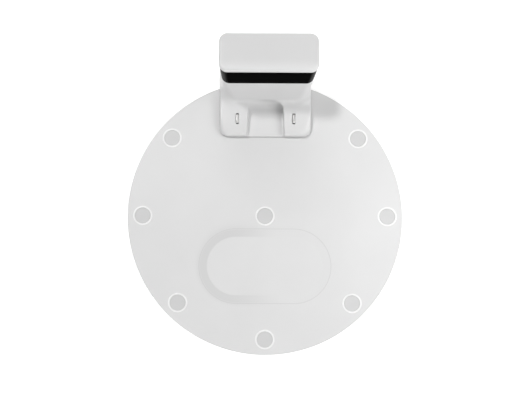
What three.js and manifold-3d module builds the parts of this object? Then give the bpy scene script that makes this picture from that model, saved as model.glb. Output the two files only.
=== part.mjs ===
// Charging dock of a robot vacuum, standing on its round floor mat.
// Millimetres, +Z up. The origin is on the floor under the middle of the mat, and the dock
// stands towards +Y with its foot facing -Y. The object is symmetric about X = 0 outside.

import * as THREE from "three";
import { mergeVertices } from "three/addons/utils/BufferGeometryUtils.js";
import Module from "manifold-3d";

const wasm = await Module();
wasm.setup();

// Fits
const gap = 0.3; // between pieces that touch
const slideGap = 0.4; // around a piece that slides or lifts out

// Floor mat
const matRadius = 220;
const matThickness = 1.2;
const matStandoff = 1.5; // sheet above the floor, carried by the grip pads
const matTop = matStandoff + matThickness;
const trayFloorLength = 182;
const trayFloorWidth = 90;
const trayBorder = 15;
const trayDepth = 1.0;
const trayY = -80;

// Grip pads
const padInset = 24; // of the pads' circle from the mat's edge
const padAngles = [0, 40, 140, 180, 225, 270, 315];
const padRadius = 12.3;
const padFlange = 3.2; // how much wider the flange is than the plug
const padProud = 0.2;
const ringWidth = 2.8;
const ringHeight = 0.4;

// Dock, in plan: its back overhangs the mat and its foot reaches in from the mat's edge
const dockReach = 92;
const footLength = 56; // from the foot's front edge to the foot of the wall
const footHalfWidth = 74;
const sideDraft = 4.4; // foot to shoulder, on each side
const bandFlare = 2.3; // shoulder to the window's top edge, on each side
const plateOverhang = 0.4; // of the lid over the window
const plateDepth = 57.4;
const rearShellDepth = 24.5;
const footCornerRadius = 13.5;
const coveCornerRadius = 26;
const shoulderCornerRadius = 12.3;

// Dock, in height above the mat
const dockHeight = 98;
const plateThickness = 5;
const bandHeight = 27;
const footLift = 1.2; // base plate above the feet's soles
const lipHeight = 4.8;
const padSurfaceHeight = 13.1;
const wallFootHeight = 29;

// Dock, front line in side view
const lipCurveLength = 18; // from the foot's front edge to the level of the contacts
const lipCurveDip = 0.6; // of the lip curve's last handle below the level of the contacts
const coveLength = 22; // how far the cove's curve runs in level with the contacts
const coveRise = 1.2; // of the cove curve's first handle
const coveTurnInset = 4; // of its second handle, in front of the wall's foot
const coveTurnRise = 1.6;
const wallLean = 8.8;
const bandLean = 6.8;
const bandSetback = 0.5; // of the window's top edge from the lid's edge
const bandThickness = 2.5;

const shellWall = 2;
const roofWall = 1.8;
const basePlateThickness = 2.2;
const squareCorner = 0.5; // radius where the shells' halves meet

// Places worked out from the sizes above
const dockFront = matRadius - dockReach;
const wallFootY = dockFront + footLength;
const bandBottomFront = wallFootY + wallLean;
const bandTopFront = bandBottomFront + bandLean;
const plateFront = bandTopFront - bandSetback;
const dockBack = plateFront + plateDepth;
const seamY = dockBack - rearShellDepth;
const padSurfaceY = dockFront + lipCurveLength;
const shoulderHalfWidth = footHalfWidth - sideDraft;
const bandTopHalfWidth = shoulderHalfWidth + bandFlare;
const plateHalfWidth = bandTopHalfWidth + plateOverhang;

const soleZ = matTop + gap;
const baseZ = soleZ + footLift;
const shellBottomZ = baseZ - gap;
const baseTopZ = baseZ + basePlateThickness;
const innerFloorZ = baseTopZ + gap;
const lipZ = matTop + lipHeight;
const padSurfaceZ = matTop + padSurfaceHeight;
const wallFootZ = matTop + wallFootHeight;
const dockTopZ = matTop + dockHeight;
const plateZ = dockTopZ - plateThickness;
const shellTopZ = plateZ - gap;
const bandBottomZ = plateZ - bandHeight;
const ledgeZ = bandBottomZ - gap;

// Top plate
const plateEdgeRadius = 4;
const plateRecess = 1.2;
const plateRecessMargin = 3; // inside the shells' inner faces

// Niche and channel for the robot's front wheel
const nicheHalfWidth = 30.5;
const nicheDepth = 3; // behind the foot of the wall
const nicheBackRadius = 16; // where the channel's floor turns up into the niche's back
const nicheBack = wallFootY + nicheDepth;
const nicheFloorThickness = 1.8;
const nicheSpringHeight = 9;
const nicheApexHeight = 24;
const nicheWall = 1.8;
const nicheCornerRadius = 4; // along the foot of both sides
const nicheTurnY = nicheBack - nicheBackRadius;
const nicheTurnZ = shellBottomZ + nicheFloorThickness + nicheBackRadius;

// Ballast, feet and screws, between the niche's lining and the foot's side
const nicheOuter = nicheHalfWidth + nicheWall;
const ballastNicheGap = 5.7;
const ballastSideGap = 6;
const ballastInner = nicheOuter + ballastNicheGap;
const ballastOuter = footHalfWidth - ballastSideGap;
const ballastWidth = ballastOuter - ballastInner;
const ballastX = (ballastInner + ballastOuter) / 2;
const ballastThickness = 7;
const rubberFootRadius = 7;
const rubberFootSeat = 0.6;
const frontFootX = nicheOuter + 17.7;
const rearFootX = nicheOuter + 11.7;
const rearFootInset = 10.3; // of the rear feet's middles from the mat's edge
const frontFootY = dockFront + 10;
const rearFootY = Math.sqrt((matRadius - rearFootInset) ** 2 - rearFootX ** 2);
const rubberFootPlaces = [
  [-frontFootX, frontFootY],
  [frontFootX, frontFootY],
  [-rearFootX, rearFootY],
  [rearFootX, rearFootY],
];
const screwX = footHalfWidth - 12.3;
const frontScrewY = dockFront + 24;
const rearScrewY = dockBack - 12.5;
const screwPlaces = [
  [-screwX, frontScrewY],
  [screwX, frontScrewY],
  [-screwX, rearScrewY],
  [screwX, rearScrewY],
];
const screwShankRadius = 1.3;
const screwHeadRadius = 2.8;
const screwHeadHeight = 1.2;
const frontScrewLength = 6;
const rearScrewLength = 12;
const bossRadius = 4;
const bossHeight = 24;
const bossRibThickness = 1.6;

// Charging contacts, midway between the niche's lining and the screw bosses
const contactX = (nicheOuter + screwX - bossRadius) / 2;
const contactSetback = 26.5;
const contactY = dockFront + contactSetback;
const contactWidth = 3.8;
const contactLength = 13.6;
const contactHeel = 1.4; // thickness
const contactEndGap = 1.5; // open ends of the slot, which the skid's noses dip into
const contactCatch = 1.1; // how far the heel reaches under each end of the slot
const contactNose = 2.4; // height of the curve at each end
const contactNoseStretch = 1.6; // its length over its height
const contactProud = 2.4;
const springRadius = 1.5;
const springWire = 0.5;
const springTurns = 3;
const springLength = 3.7;
const holderWall = 1.6;
const holderFloor = 1;
const contactHeelLength = contactLength + 2 * (contactEndGap + contactCatch);
const springBottomZ = innerFloorZ + holderFloor + gap;
const contactBottomZ = springBottomZ + springLength + gap;
const contactTopZ = padSurfaceZ + contactProud;

// Infrared eyes behind the window
const eyeZ = plateZ - bandHeight / 2;
const eyeSpacing = 36;
const eyeHoodHalfWidth = 9;
const eyeHoodHalfHeight = 5;
const eyeHoodDepth = 2;
const ledRadius = 2.5;
const windowMargin = 17.6; // from the shoulder to the opening behind the window
const windowHalfWidth = shoulderHalfWidth - windowMargin;
const windowHalfHeight = 7;
const holderHalfWidth = windowHalfWidth + 4;
const holderHalfHeight = windowHalfHeight + 2;
const holderDepth = 7;
const boardThickness = 1.6;
const boardPartSink = 0.5; // how far a board's parts run into it, to be one solid with it

// Rear bay for the winding of the mains lead
const bayMargin = 24; // from the foot's side
const bayHalfWidth = footHalfWidth - bayMargin;
const bayBottomZ = matTop + 10;
const bayTopZ = dockTopZ - 22;
const bayDepth = 15;
const bayFloorY = dockBack - bayDepth;
const coverThickness = 2.4;
const coverRebate = 3;
const fingerNotchRadius = 12;
const clipLength = 6;
const clipThickness = 2;
const clipHeight = 10;
const spoolHalfWidth = 16;
const spoolHalfHeight = 9;
const spoolWall = 5;
const spoolFinger = 6;
const spoolFingerThickness = 1.6;
const spoolLift = 4; // above the bay's middle
const spoolZ = (bayBottomZ + bayTopZ) / 2 + spoolLift;
const cordSlotHalfWidth = 5;
const cordSlotHeight = 7;
const cordSlotDepth = 11; // from the dock's back

// Power supply
const powerBoardMargin = 28; // from the foot's side
const powerBoardHalfLength = footHalfWidth - powerBoardMargin;
const powerBoardClear = 4; // behind the board, to the bay's lining
const powerBoardNicheGap = 18.7;
const powerBoardFront = nicheBack + nicheWall + powerBoardNicheGap;
const powerBoardBack = bayFloorY - shellWall - powerBoardClear;
const powerBoardWidth = powerBoardBack - powerBoardFront;
const powerBoardY = (powerBoardFront + powerBoardBack) / 2;
const boardPostHeight = 5;
const boardPostRadius = 3;
const powerBoardZ = baseTopZ + boardPostHeight + gap;
const powerPartsZ = powerBoardZ + boardThickness + gap;
const transformerLength = 26;
const transformerWidth = 20;
const transformerHeight = 22;
const transformerLimb = 4;
const capacitorRadius = 7;
const capacitorLength = 26;
const capacitorGroove = 0.8;
const boardPartHalf = 4; // of the smaller parts along X
const boardPartX = powerBoardHalfLength - boardPartHalf - 1;
const transformerX = boardPartX - boardPartHalf - 1 - transformerLength / 2;
const capacitorX = transformerX - transformerLength / 2 - 1 - capacitorRadius;
const capacitorY = powerBoardFront + capacitorRadius + 0.5;

// Power inlet, a two-pin figure-of-eight socket
const inletSide = 9; // from the power board's end
const inletX = inletSide - powerBoardHalfLength;
const inletZ = matTop + 20;
const inletHalfWidth = 10;
const inletHalfHeight = 6.5;
const inletLength = 18;
const inletBackWall = 3;
const inletFlangeWidth = 2;
const inletFlange = 1.6;
const inletLobeRadius = 3.6;
const inletPinRadius = 1.2;
const inletPinPitch = 8.6;
const inletPinLength = 12;
const inletPinTail = 2;
const inletFrontY = bayFloorY - inletLength;

// Inside wiring, and the ballast between a contact lead and the power board
const leadRadius = 0.8;
const leadStart = contactY + contactHeelLength / 2 + slideGap + holderWall + gap + leadRadius;
const ballastFront = leadStart + leadRadius + 4.9;
const ballastBack = powerBoardFront - 2;
const ballastLength = ballastBack - ballastFront;
const ballastY = (ballastFront + ballastBack) / 2;

// How far a cutting solid runs past the face that it cuts
const over = 5;

// Turns a closed geometry into a manifold solid.
function solid(geometry) {
  const bare = geometry.clone();
  bare.deleteAttribute("normal");
  bare.deleteAttribute("uv");
  const merged = mergeVertices(bare, 1e-4);
  const mesh = new wasm.Mesh({
    numProp: 3,
    vertProperties: new Float32Array(merged.attributes.position.array),
    triVerts: new Uint32Array(merged.index.array),
  });
  return new wasm.Manifold(mesh);
}

// Turns a manifold solid back into a geometry.
function geometryOf(body) {
  const mesh = body.getMesh();
  const geometry = new THREE.BufferGeometry();
  geometry.setAttribute("position", new THREE.BufferAttribute(mesh.vertProperties, 3));
  geometry.setIndex(new THREE.BufferAttribute(mesh.triVerts, 1));
  geometry.computeVertexNormals();
  return geometry;
}

// A box between its lowest and highest corners.
function box(low, high) {
  const size = high.map((value, axis) => value - low[axis]);
  const geometry = new THREE.BoxGeometry(size[0], size[1], size[2]);
  geometry.translate((low[0] + high[0]) / 2, (low[1] + high[1]) / 2, (low[2] + high[2]) / 2);
  return solid(geometry);
}

// An upright cylinder between two heights.
function post(x, y, radius, bottom, top, sides = 24) {
  const geometry = new THREE.CylinderGeometry(radius, radius, top - bottom, sides);
  geometry.rotateX(Math.PI / 2);
  geometry.translate(x, y, (bottom + top) / 2);
  return solid(geometry);
}

// A cylinder lying along Y between two places.
function barrel(x, z, radius, front, back, sides = 20) {
  const geometry = new THREE.CylinderGeometry(radius, radius, back - front, sides);
  geometry.translate(x, (front + back) / 2, z);
  return solid(geometry);
}

// A body turned about Z from pairs of radius and height.
function turned(pairs, sides) {
  const profile = pairs.map(([radius, height]) => new THREE.Vector2(radius, height));
  const geometry = new THREE.LatheGeometry(profile, sides);
  geometry.rotateX(Math.PI / 2);
  return solid(geometry);
}

// A shape drawn in X and Z, extruded along Y from front to back.
function extrudeAlongY(shape, front, back, curveSegments = 12) {
  const geometry = new THREE.ExtrudeGeometry(shape, {
    depth: back - front,
    bevelEnabled: false,
    curveSegments,
  });
  geometry.rotateX(Math.PI / 2);
  geometry.translate(0, back, 0);
  return solid(geometry);
}

// A tube of a round section along a curve.
function tube(curve, radius, sides, steps) {
  const section = new THREE.Shape();
  section.absarc(0, 0, radius, 0, Math.PI * 2);
  return solid(new THREE.ExtrudeGeometry(section, {
    steps,
    extrudePath: curve,
    curveSegments: sides / 2,
    bevelEnabled: false,
  }));
}

// A closed outline in plan, counter-clockwise, with its own radius at front and back corners.
function outline(halfWidth, front, back, frontRadius, backRadius, segments = 6) {
  const points = [];
  const corners = [
    [halfWidth - frontRadius, front + frontRadius, frontRadius, -90],
    [halfWidth - backRadius, back - backRadius, backRadius, 0],
    [backRadius - halfWidth, back - backRadius, backRadius, 90],
    [frontRadius - halfWidth, front + frontRadius, frontRadius, 180],
  ];
  for (const [x, y, radius, start] of corners) {
    for (let step = 0; step <= segments; step += 1) {
      const angle = THREE.MathUtils.degToRad(start + (90 * step) / segments);
      points.push(new THREE.Vector2(x + radius * Math.cos(angle), y + radius * Math.sin(angle)));
    }
  }
  return points;
}

// Joins outlines at rising heights into one closed body.
function loft(sections) {
  const count = sections[0].points.length;
  const positions = [];
  const indices = [];
  for (const section of sections) {
    for (const point of section.points) {
      positions.push(point.x, point.y, section.z);
    }
  }
  for (let level = 0; level + 1 < sections.length; level += 1) {
    for (let place = 0; place < count; place += 1) {
      const next = (place + 1) % count;
      const a = level * count + place;
      const b = level * count + next;
      indices.push(a, b, b + count);
      indices.push(a, b + count, a + count);
    }
  }
  const lastLevel = (sections.length - 1) * count;
  for (const [a, b, c] of THREE.ShapeUtils.triangulateShape(sections[0].points, [])) {
    indices.push(c, b, a);
  }
  for (const [a, b, c] of THREE.ShapeUtils.triangulateShape(sections.at(-1).points, [])) {
    indices.push(lastLevel + a, lastLevel + b, lastLevel + c);
  }
  const geometry = new THREE.BufferGeometry();
  geometry.setAttribute("position", new THREE.Float32BufferAttribute(positions, 3));
  geometry.setIndex(indices);
  return solid(geometry);
}

// The front line in side view, from the lip of the foot up to the window: x is Y here, y is Z.
function frontProfile() {
  const path = new THREE.Path();
  const low = padSurfaceZ - lipHeight / 2;
  path.moveTo(dockFront, shellBottomZ);
  path.lineTo(dockFront, lipZ);
  path.bezierCurveTo(
    dockFront,
    low,
    padSurfaceY - lipCurveLength / 2,
    padSurfaceZ - lipCurveDip,
    padSurfaceY,
    padSurfaceZ,
  );
  path.bezierCurveTo(
    padSurfaceY + coveLength,
    padSurfaceZ + coveRise,
    wallFootY - coveTurnInset,
    padSurfaceZ + coveTurnRise,
    wallFootY,
    wallFootZ,
  );
  path.lineTo(bandBottomFront, ledgeZ);
  return path.getPoints(6);
}

function frontAt(z) {
  const points = frontProfile();
  const above = points.findIndex((point) => point.y > z);
  const [low, high] = [points[above - 1], points[above]];
  return THREE.MathUtils.mapLinear(z, low.y, high.y, low.x, high.x);
}

// How wide the dock is at a height, and how round its front corners are.
function widthAt(z) {
  const rise = THREE.MathUtils.clamp((z - shellBottomZ) / (ledgeZ - shellBottomZ), 0, 1);
  return THREE.MathUtils.lerp(footHalfWidth, shoulderHalfWidth, Math.sqrt(rise));
}

function cornerAt(z) {
  const middle = (lipZ + wallFootZ) / 2;
  const swell = THREE.MathUtils.smoothstep(z, lipZ, middle);
  const shrink = THREE.MathUtils.smoothstep(z, middle, ledgeZ);
  const low = THREE.MathUtils.lerp(footCornerRadius, coveCornerRadius, swell);
  return THREE.MathUtils.lerp(low, shoulderCornerRadius, shrink);
}

// Levels of the front half below the window, or of its cavity when inset and dropped.
function frontLevels(inset, drop, back) {
  return frontProfile().map((point) => ({
    z: point.y - drop,
    points: outline(
      widthAt(point.y) - inset,
      point.x + inset,
      back,
      Math.max(cornerAt(point.y) - inset, 1),
      squareCorner,
    ),
  }));
}

// A level of the neck behind the window, up to the top plate.
function neckLevel(z, inset, back) {
  const rise = (z - bandBottomZ) / bandHeight;
  return {
    z,
    points: outline(
      THREE.MathUtils.lerp(shoulderHalfWidth, bandTopHalfWidth, rise) - inset,
      THREE.MathUtils.lerp(bandBottomFront, bandTopFront, rise) + inset,
      back,
      Math.max(shoulderCornerRadius - inset, 1),
      squareCorner,
    ),
  };
}

// A level of the rear half.
function rearLevel(z, inset, front, halfWidth = widthAt(z)) {
  return {
    z,
    points: outline(
      halfWidth - inset,
      front,
      dockBack - inset,
      squareCorner,
      shoulderCornerRadius - inset,
    ),
  };
}

// The space of the niche and the channel in front of it, widened by a wall where asked. The
// channel's floor turns up into the niche's back.
function nicheSpace(grow, floorZ) {
  const springZ = matTop + nicheSpringHeight;
  const apexZ = matTop + nicheApexHeight + grow;
  const half = nicheHalfWidth + grow;
  const arch = new THREE.Shape();
  const rounding = nicheCornerRadius + grow;
  arch.moveTo(rounding - half, floorZ);
  arch.absarc(half - rounding, floorZ + rounding, rounding, -Math.PI / 2, 0, false);
  arch.absellipse(0, springZ, half, apexZ - springZ, 0, Math.PI, false);
  arch.absarc(rounding - half, floorZ + rounding, rounding, Math.PI, Math.PI * 1.5, false);
  const space = extrudeAlongY(arch, dockFront - over, nicheBack + grow);
  const corner = box(
    [-half - over, nicheTurnY, floorZ - over],
    [half + over, nicheBack + grow + over, nicheTurnZ],
  );
  const radius = nicheBackRadius + grow;
  const turn = new THREE.CylinderGeometry(radius, radius, 2 * half + 4 * over, 48);
  turn.rotateZ(Math.PI / 2);
  turn.translate(0, nicheTurnY, nicheTurnZ);
  return space.subtract(corner.subtract(solid(turn)));
}

// How far back the niche's lining reaches at the height of the base plate's top.
function nicheReachAtBase() {
  const radius = nicheBackRadius + nicheWall;
  return nicheTurnY + Math.sqrt(radius ** 2 - (nicheTurnZ - baseTopZ - gap) ** 2);
}

// The slot in the foot that a contact moves in.
function contactSlot(x) {
  const halfWidth = contactWidth / 2 + slideGap;
  const halfLength = contactLength / 2 + contactEndGap;
  return box(
    [x - halfWidth, contactY - halfLength, baseZ],
    [x + halfWidth, contactY + halfLength, contactTopZ + over],
  );
}

// A boss for a base screw with a rib to the side wall, trimmed to the block that holds it.
function screwBoss(x, y, block) {
  const top = innerFloorZ + bossHeight;
  const outside = Math.sign(x) * footHalfWidth;
  const rib = box(
    [Math.min(x, outside), y - bossRibThickness / 2, innerFloorZ],
    [Math.max(x, outside), y + bossRibThickness / 2, top],
  );
  return post(x, y, bossRadius, innerFloorZ, top, 16).add(rib).intersect(block);
}

function screwHole(x, y, length) {
  return post(x, y, screwShankRadius + gap, baseZ, baseTopZ + length + gap, 12);
}

// Front shell: the foot, the wall with its niche and the neck that carries the window.
function makeFrontShell() {
  const back = seamY - gap / 2;
  const neckInset = bandThickness + gap;
  const outerLevels = frontLevels(0, 0, back);
  outerLevels.push(neckLevel(ledgeZ, neckInset, back));
  outerLevels.push(neckLevel(shellTopZ, neckInset, back));
  const outer = loft(outerLevels);

  const cavityLevels = frontLevels(shellWall, roofWall, back + over);
  cavityLevels[0].z = shellBottomZ - 1;
  cavityLevels.push(neckLevel(ledgeZ, neckInset + shellWall, back + over));
  cavityLevels.push(neckLevel(shellTopZ + 1, neckInset + shellWall, back + over));
  const cavity = loft(cavityLevels).subtract(nicheSpace(nicheWall, shellBottomZ - over));

  let shell = outer.subtract(cavity);
  shell = shell.subtract(nicheSpace(0, shellBottomZ + nicheFloorThickness));
  for (const side of [-1, 1]) {
    shell = shell.add(screwBoss(side * screwX, frontScrewY, outer));
    shell = shell.subtract(screwHole(side * screwX, frontScrewY, frontScrewLength));
    shell = shell.subtract(contactSlot(side * contactX));
  }
  const behindWindow = box(
    [-windowHalfWidth, bandBottomFront, eyeZ - windowHalfHeight],
    [windowHalfWidth, bandTopFront + neckInset + shellWall + 2, eyeZ + windowHalfHeight],
  );
  return geometryOf(shell.subtract(behindWindow));
}

// Rear shell: the back of the dock, with the bay that the mains lead winds in.
function makeRearShell() {
  const front = seamY + gap / 2;
  const heights = [0, 0.12, 0.3, 0.6, 1].map((part) => (
    THREE.MathUtils.lerp(shellBottomZ, ledgeZ, part)
  ));
  const outerLevels = heights.map((z) => rearLevel(z, 0, front));
  outerLevels.push(rearLevel(shellTopZ, 0, front, bandTopHalfWidth));
  const outer = loft(outerLevels);

  const cavityLevels = heights.map((z) => rearLevel(z, shellWall, front - over));
  cavityLevels[0].z = shellBottomZ - 1;
  cavityLevels.push(rearLevel(shellTopZ + 1, shellWall, front - over, bandTopHalfWidth));
  const cavity = loft(cavityLevels).subtract(bayBlock(shellWall)).subtract(rebateBlock(shellWall));

  let shell = outer.subtract(cavity).subtract(bayBlock(0)).subtract(rebateBlock(0));
  shell = shell.add(makeSpool()).subtract(inletHole()).subtract(cordWayOut());
  for (const side of [-1, 1]) {
    shell = shell.add(screwBoss(side * screwX, rearScrewY, outer));
    shell = shell.subtract(screwHole(side * screwX, rearScrewY, rearScrewLength));
  }
  return geometryOf(shell);
}

// The bay, and the rebate round its mouth that the cover presses into.
function bayBlock(grow) {
  return box(
    [-bayHalfWidth - grow, bayFloorY - grow, bayBottomZ - grow],
    [bayHalfWidth + grow, dockBack + over, bayTopZ + grow],
  );
}

function rebateBlock(grow) {
  const half = bayHalfWidth + coverRebate + grow;
  return box(
    [-half, dockBack - coverThickness - gap - grow, bayBottomZ - coverRebate - grow],
    [half, dockBack + over, bayTopZ + coverRebate + grow],
  );
}

function inletHole() {
  return box(
    [inletX - inletHalfWidth - gap, bayFloorY - shellWall - 1, inletZ - inletHalfHeight - gap],
    [inletX + inletHalfWidth + gap, bayFloorY + 1, inletZ + inletHalfHeight + gap],
  );
}

function cordWayOut() {
  return box(
    [-cordSlotHalfWidth, dockBack - cordSlotDepth, shellBottomZ - 1],
    [cordSlotHalfWidth, dockBack + over, bayBottomZ + 1],
  );
}

// The spool in the bay: a hollow oval post with a bar across it that keeps the turns in.
function makeSpool() {
  const reach = dockBack - coverThickness - gap - slideGap - 1;
  const oval = new THREE.Shape();
  oval.absellipse(0, spoolZ, spoolHalfWidth, spoolHalfHeight, 0, Math.PI * 2, false);
  const core = extrudeAlongY(oval, bayFloorY - 1, reach, 10);
  const half = spoolHalfWidth + spoolFinger;
  const fingers = box(
    [-half, reach - spoolFingerThickness, spoolZ - spoolHalfHeight / 2],
    [half, reach, spoolZ + spoolHalfHeight / 2],
  );
  const hollow = box(
    [spoolWall - spoolHalfWidth, bayFloorY + 1, spoolZ - spoolHalfHeight + spoolWall],
    [spoolHalfWidth - spoolWall, reach + 1, spoolZ + spoolHalfHeight - spoolWall],
  );
  return core.add(fingers).subtract(hollow);
}

// Rear cover: a panel with two clips that presses into the rebate round the bay.
function makeRearCover() {
  const low = bayBottomZ - coverRebate + slideGap;
  const high = bayTopZ + coverRebate - slideGap;
  const half = bayHalfWidth + coverRebate - slideGap;
  const front = dockBack - coverThickness;
  let cover = box([-half, front, low], [half, dockBack, high]);
  cover = cover.subtract(barrel(0, high, fingerNotchRadius, front - 1, dockBack + 1, 32));
  cover = cover.subtract(box(
    [-cordSlotHalfWidth, front - 1, low - 1],
    [cordSlotHalfWidth, dockBack + 1, low + cordSlotHeight],
  ));
  for (const side of [-1, 1]) {
    const outer = side * (bayHalfWidth - slideGap);
    const inner = side * (bayHalfWidth - slideGap - clipThickness);
    cover = cover.add(box(
      [Math.min(outer, inner), front - clipLength, low + 2 * clipHeight],
      [Math.max(outer, inner), front + 1, low + 3 * clipHeight],
    ));
  }
  return geometryOf(cover);
}

// Infrared window: a glossy dark band round the front and both sides of the neck.
function makeWindow() {
  const back = seamY - gap;
  const outer = loft([
    neckLevel(bandBottomZ, 0, back),
    neckLevel(bandBottomZ + bandHeight / 2, 0, back),
    neckLevel(shellTopZ, 0, back),
  ]);
  const inner = loft([
    neckLevel(bandBottomZ - 1, bandThickness, back + over),
    neckLevel(plateZ + 1, bandThickness, back + over),
  ]);
  return geometryOf(outer.subtract(inner));
}

// Top plate: a rounded lid with a soft top edge and a shallow recess under it.
function makeTopPlate() {
  const chamfer = 0.4;
  const radius = shoulderCornerRadius;
  const level = (z, inset) => ({
    z,
    points: outline(
      plateHalfWidth - inset,
      plateFront + inset,
      dockBack - inset,
      radius - inset,
      radius - inset,
      8,
    ),
  });
  const levels = [level(plateZ, chamfer), level(plateZ + chamfer, 0)];
  const steps = 5;
  for (let step = 0; step <= steps; step += 1) {
    const angle = (Math.PI / 2) * (step / steps);
    const inset = plateEdgeRadius * (1 - Math.cos(angle));
    levels.push(level(dockTopZ - plateEdgeRadius * (1 - Math.sin(angle)), inset));
  }
  const margin = bandThickness + gap + shellWall + plateRecessMargin;
  const recess = box(
    [margin - plateHalfWidth, plateFront + margin, plateZ - 1],
    [plateHalfWidth - margin, dockBack - margin, plateZ + plateRecess],
  );
  return geometryOf(loft(levels).subtract(recess));
}

// Base plate: closes both shells from below, cut out round the niche.
function makeBasePlate() {
  const clear = shellWall + gap;
  const rimZ = baseTopZ + roofWall; // the cavity at the plate's top follows this level
  const level = (z) => ({
    z,
    points: outline(
      widthAt(rimZ) - clear,
      frontAt(rimZ) + clear,
      dockBack - clear,
      cornerAt(rimZ) - clear,
      shoulderCornerRadius - clear,
    ),
  });
  const nicheCut = nicheHalfWidth + nicheWall + gap;
  let plate = loft([level(baseZ), level(baseTopZ)]);
  plate = plate.subtract(box(
    [-nicheCut, dockFront - over, baseZ - 1],
    [nicheCut, nicheReachAtBase() + gap, baseTopZ + 1],
  ));
  plate = plate.subtract(cordWayOut());
  for (const [x, y] of screwPlaces) {
    const headTop = baseZ + screwHeadHeight + gap;
    plate = plate.subtract(post(x, y, screwShankRadius + gap, baseZ - 1, baseTopZ + 1, 12));
    plate = plate.subtract(post(x, y, screwHeadRadius + gap, baseZ - 1, headTop, 12));
  }
  for (const [x, y] of rubberFootPlaces) {
    const seatTop = baseZ + rubberFootSeat;
    plate = plate.subtract(post(x, y, rubberFootRadius + gap, baseZ - 1, seatTop, 20));
  }
  const postX = powerBoardHalfLength - boardPostRadius - 1;
  const postY = powerBoardWidth / 2 - boardPostRadius - 1;
  for (const [sideX, sideY] of [[-1, -1], [1, -1], [-1, 1], [1, 1]]) {
    plate = plate.add(post(
      sideX * postX,
      powerBoardY + sideY * postY,
      boardPostRadius,
      baseTopZ - 1,
      baseTopZ + boardPostHeight,
      12,
    ));
  }
  return geometryOf(plate);
}

// The drip tray's hollow, from its floor at the given height up: its border slopes outwards.
function trayBlock(floorZ, height) {
  const halfStraight = (trayFloorLength - trayFloorWidth) / 2;
  const end = trayFloorWidth / 2;
  const shape = new THREE.Shape();
  shape.moveTo(-halfStraight, -end);
  shape.lineTo(halfStraight, -end);
  shape.absarc(halfStraight, 0, end, -Math.PI / 2, Math.PI / 2, false);
  shape.lineTo(-halfStraight, end);
  shape.absarc(-halfStraight, 0, end, Math.PI / 2, Math.PI * 1.5, false);
  const geometry = new THREE.ExtrudeGeometry(shape, {
    depth: height,
    bevelEnabled: true,
    bevelThickness: trayDepth,
    bevelSize: trayBorder,
    bevelSegments: 1,
    curveSegments: 10,
  });
  geometry.translate(0, trayY, floorZ + trayDepth);
  return solid(geometry);
}

// Floor mat: a thin sheet with a shallow drip tray and a raised ring round each grip pad.
function makeMat() {
  const underTray = trayBlock(matStandoff - trayDepth, matThickness / 2).intersect(box(
    [-matRadius, -matRadius, 0],
    [matRadius, matRadius, matTop - matThickness / 6],
  ));
  let mat = post(0, 0, matRadius, matStandoff, matTop, 96).add(underTray);
  mat = mat.subtract(trayBlock(matTop - trayDepth, over));
  const holeRadius = padRadius + gap;
  for (const [x, y] of padPlaces()) {
    const ringBottom = matTop - matThickness / 2;
    mat = mat.add(post(x, y, holeRadius + ringWidth, ringBottom, matTop + ringHeight));
    mat = mat.subtract(post(x, y, holeRadius, 0, matTop + over));
  }
  return geometryOf(mat);
}

function padPlaces() {
  const places = [[0, 0]];
  const ring = matRadius - padInset;
  for (const degrees of padAngles) {
    const angle = THREE.MathUtils.degToRad(degrees);
    places.push([ring * Math.cos(angle), ring * Math.sin(angle)]);
  }
  return places;
}

// Grip pad: a soft plug through the mat with a wider flange that grips the floor.
function makeGripPad() {
  const chamfer = 0.3;
  const top = matTop + padProud;
  return geometryOf(turned([
    [0, 0],
    [padRadius + padFlange, 0],
    [padRadius + padFlange, matStandoff - gap],
    [padRadius, matStandoff - gap],
    [padRadius, top - chamfer],
    [padRadius - chamfer, top],
    [0, top],
  ], 24));
}

// Charging contact: a sprung metal skid with a longer heel that the slot keeps in.
function makeContact() {
  const half = contactLength / 2;
  const heel = contactHeelLength / 2;
  const heelTop = contactBottomZ + contactHeel;
  const crown = half - contactNose * contactNoseStretch;
  const shape = new THREE.Shape();
  shape.moveTo(-heel, contactBottomZ);
  shape.lineTo(heel, contactBottomZ);
  shape.lineTo(heel, heelTop);
  shape.lineTo(half, heelTop);
  shape.lineTo(half, contactTopZ - contactNose);
  shape.quadraticCurveTo(half, contactTopZ, crown, contactTopZ);
  shape.lineTo(-crown, contactTopZ);
  shape.quadraticCurveTo(-half, contactTopZ, -half, contactTopZ - contactNose);
  shape.lineTo(-half, heelTop);
  shape.lineTo(-heel, heelTop);
  shape.closePath();
  const geometry = new THREE.ExtrudeGeometry(shape, {
    depth: contactWidth,
    bevelEnabled: false,
    curveSegments: 6,
  });
  geometry.rotateX(Math.PI / 2);
  geometry.rotateZ(Math.PI / 2);
  geometry.translate(-contactWidth / 2, 0, 0);
  return geometryOf(solid(geometry));
}

// Contact spring: a short compression coil on the holder's floor.
class Helix extends THREE.Curve {
  constructor(radius, turns, bottom, top) {
    super();
    this.radius = radius;
    this.turns = turns;
    this.bottom = bottom;
    this.top = top;
  }

  getPoint(t, target = new THREE.Vector3()) {
    const angle = t * this.turns * Math.PI * 2;
    const z = THREE.MathUtils.lerp(this.bottom, this.top, t);
    return target.set(this.radius * Math.cos(angle), this.radius * Math.sin(angle), z);
  }
}

function makeContactSpring() {
  const wire = springWire / 2;
  const top = springBottomZ + springLength;
  const coil = new Helix(springRadius, springTurns, springBottomZ + wire, top - wire);
  return geometryOf(tube(coil, wire, 6, springTurns * 9));
}

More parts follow.
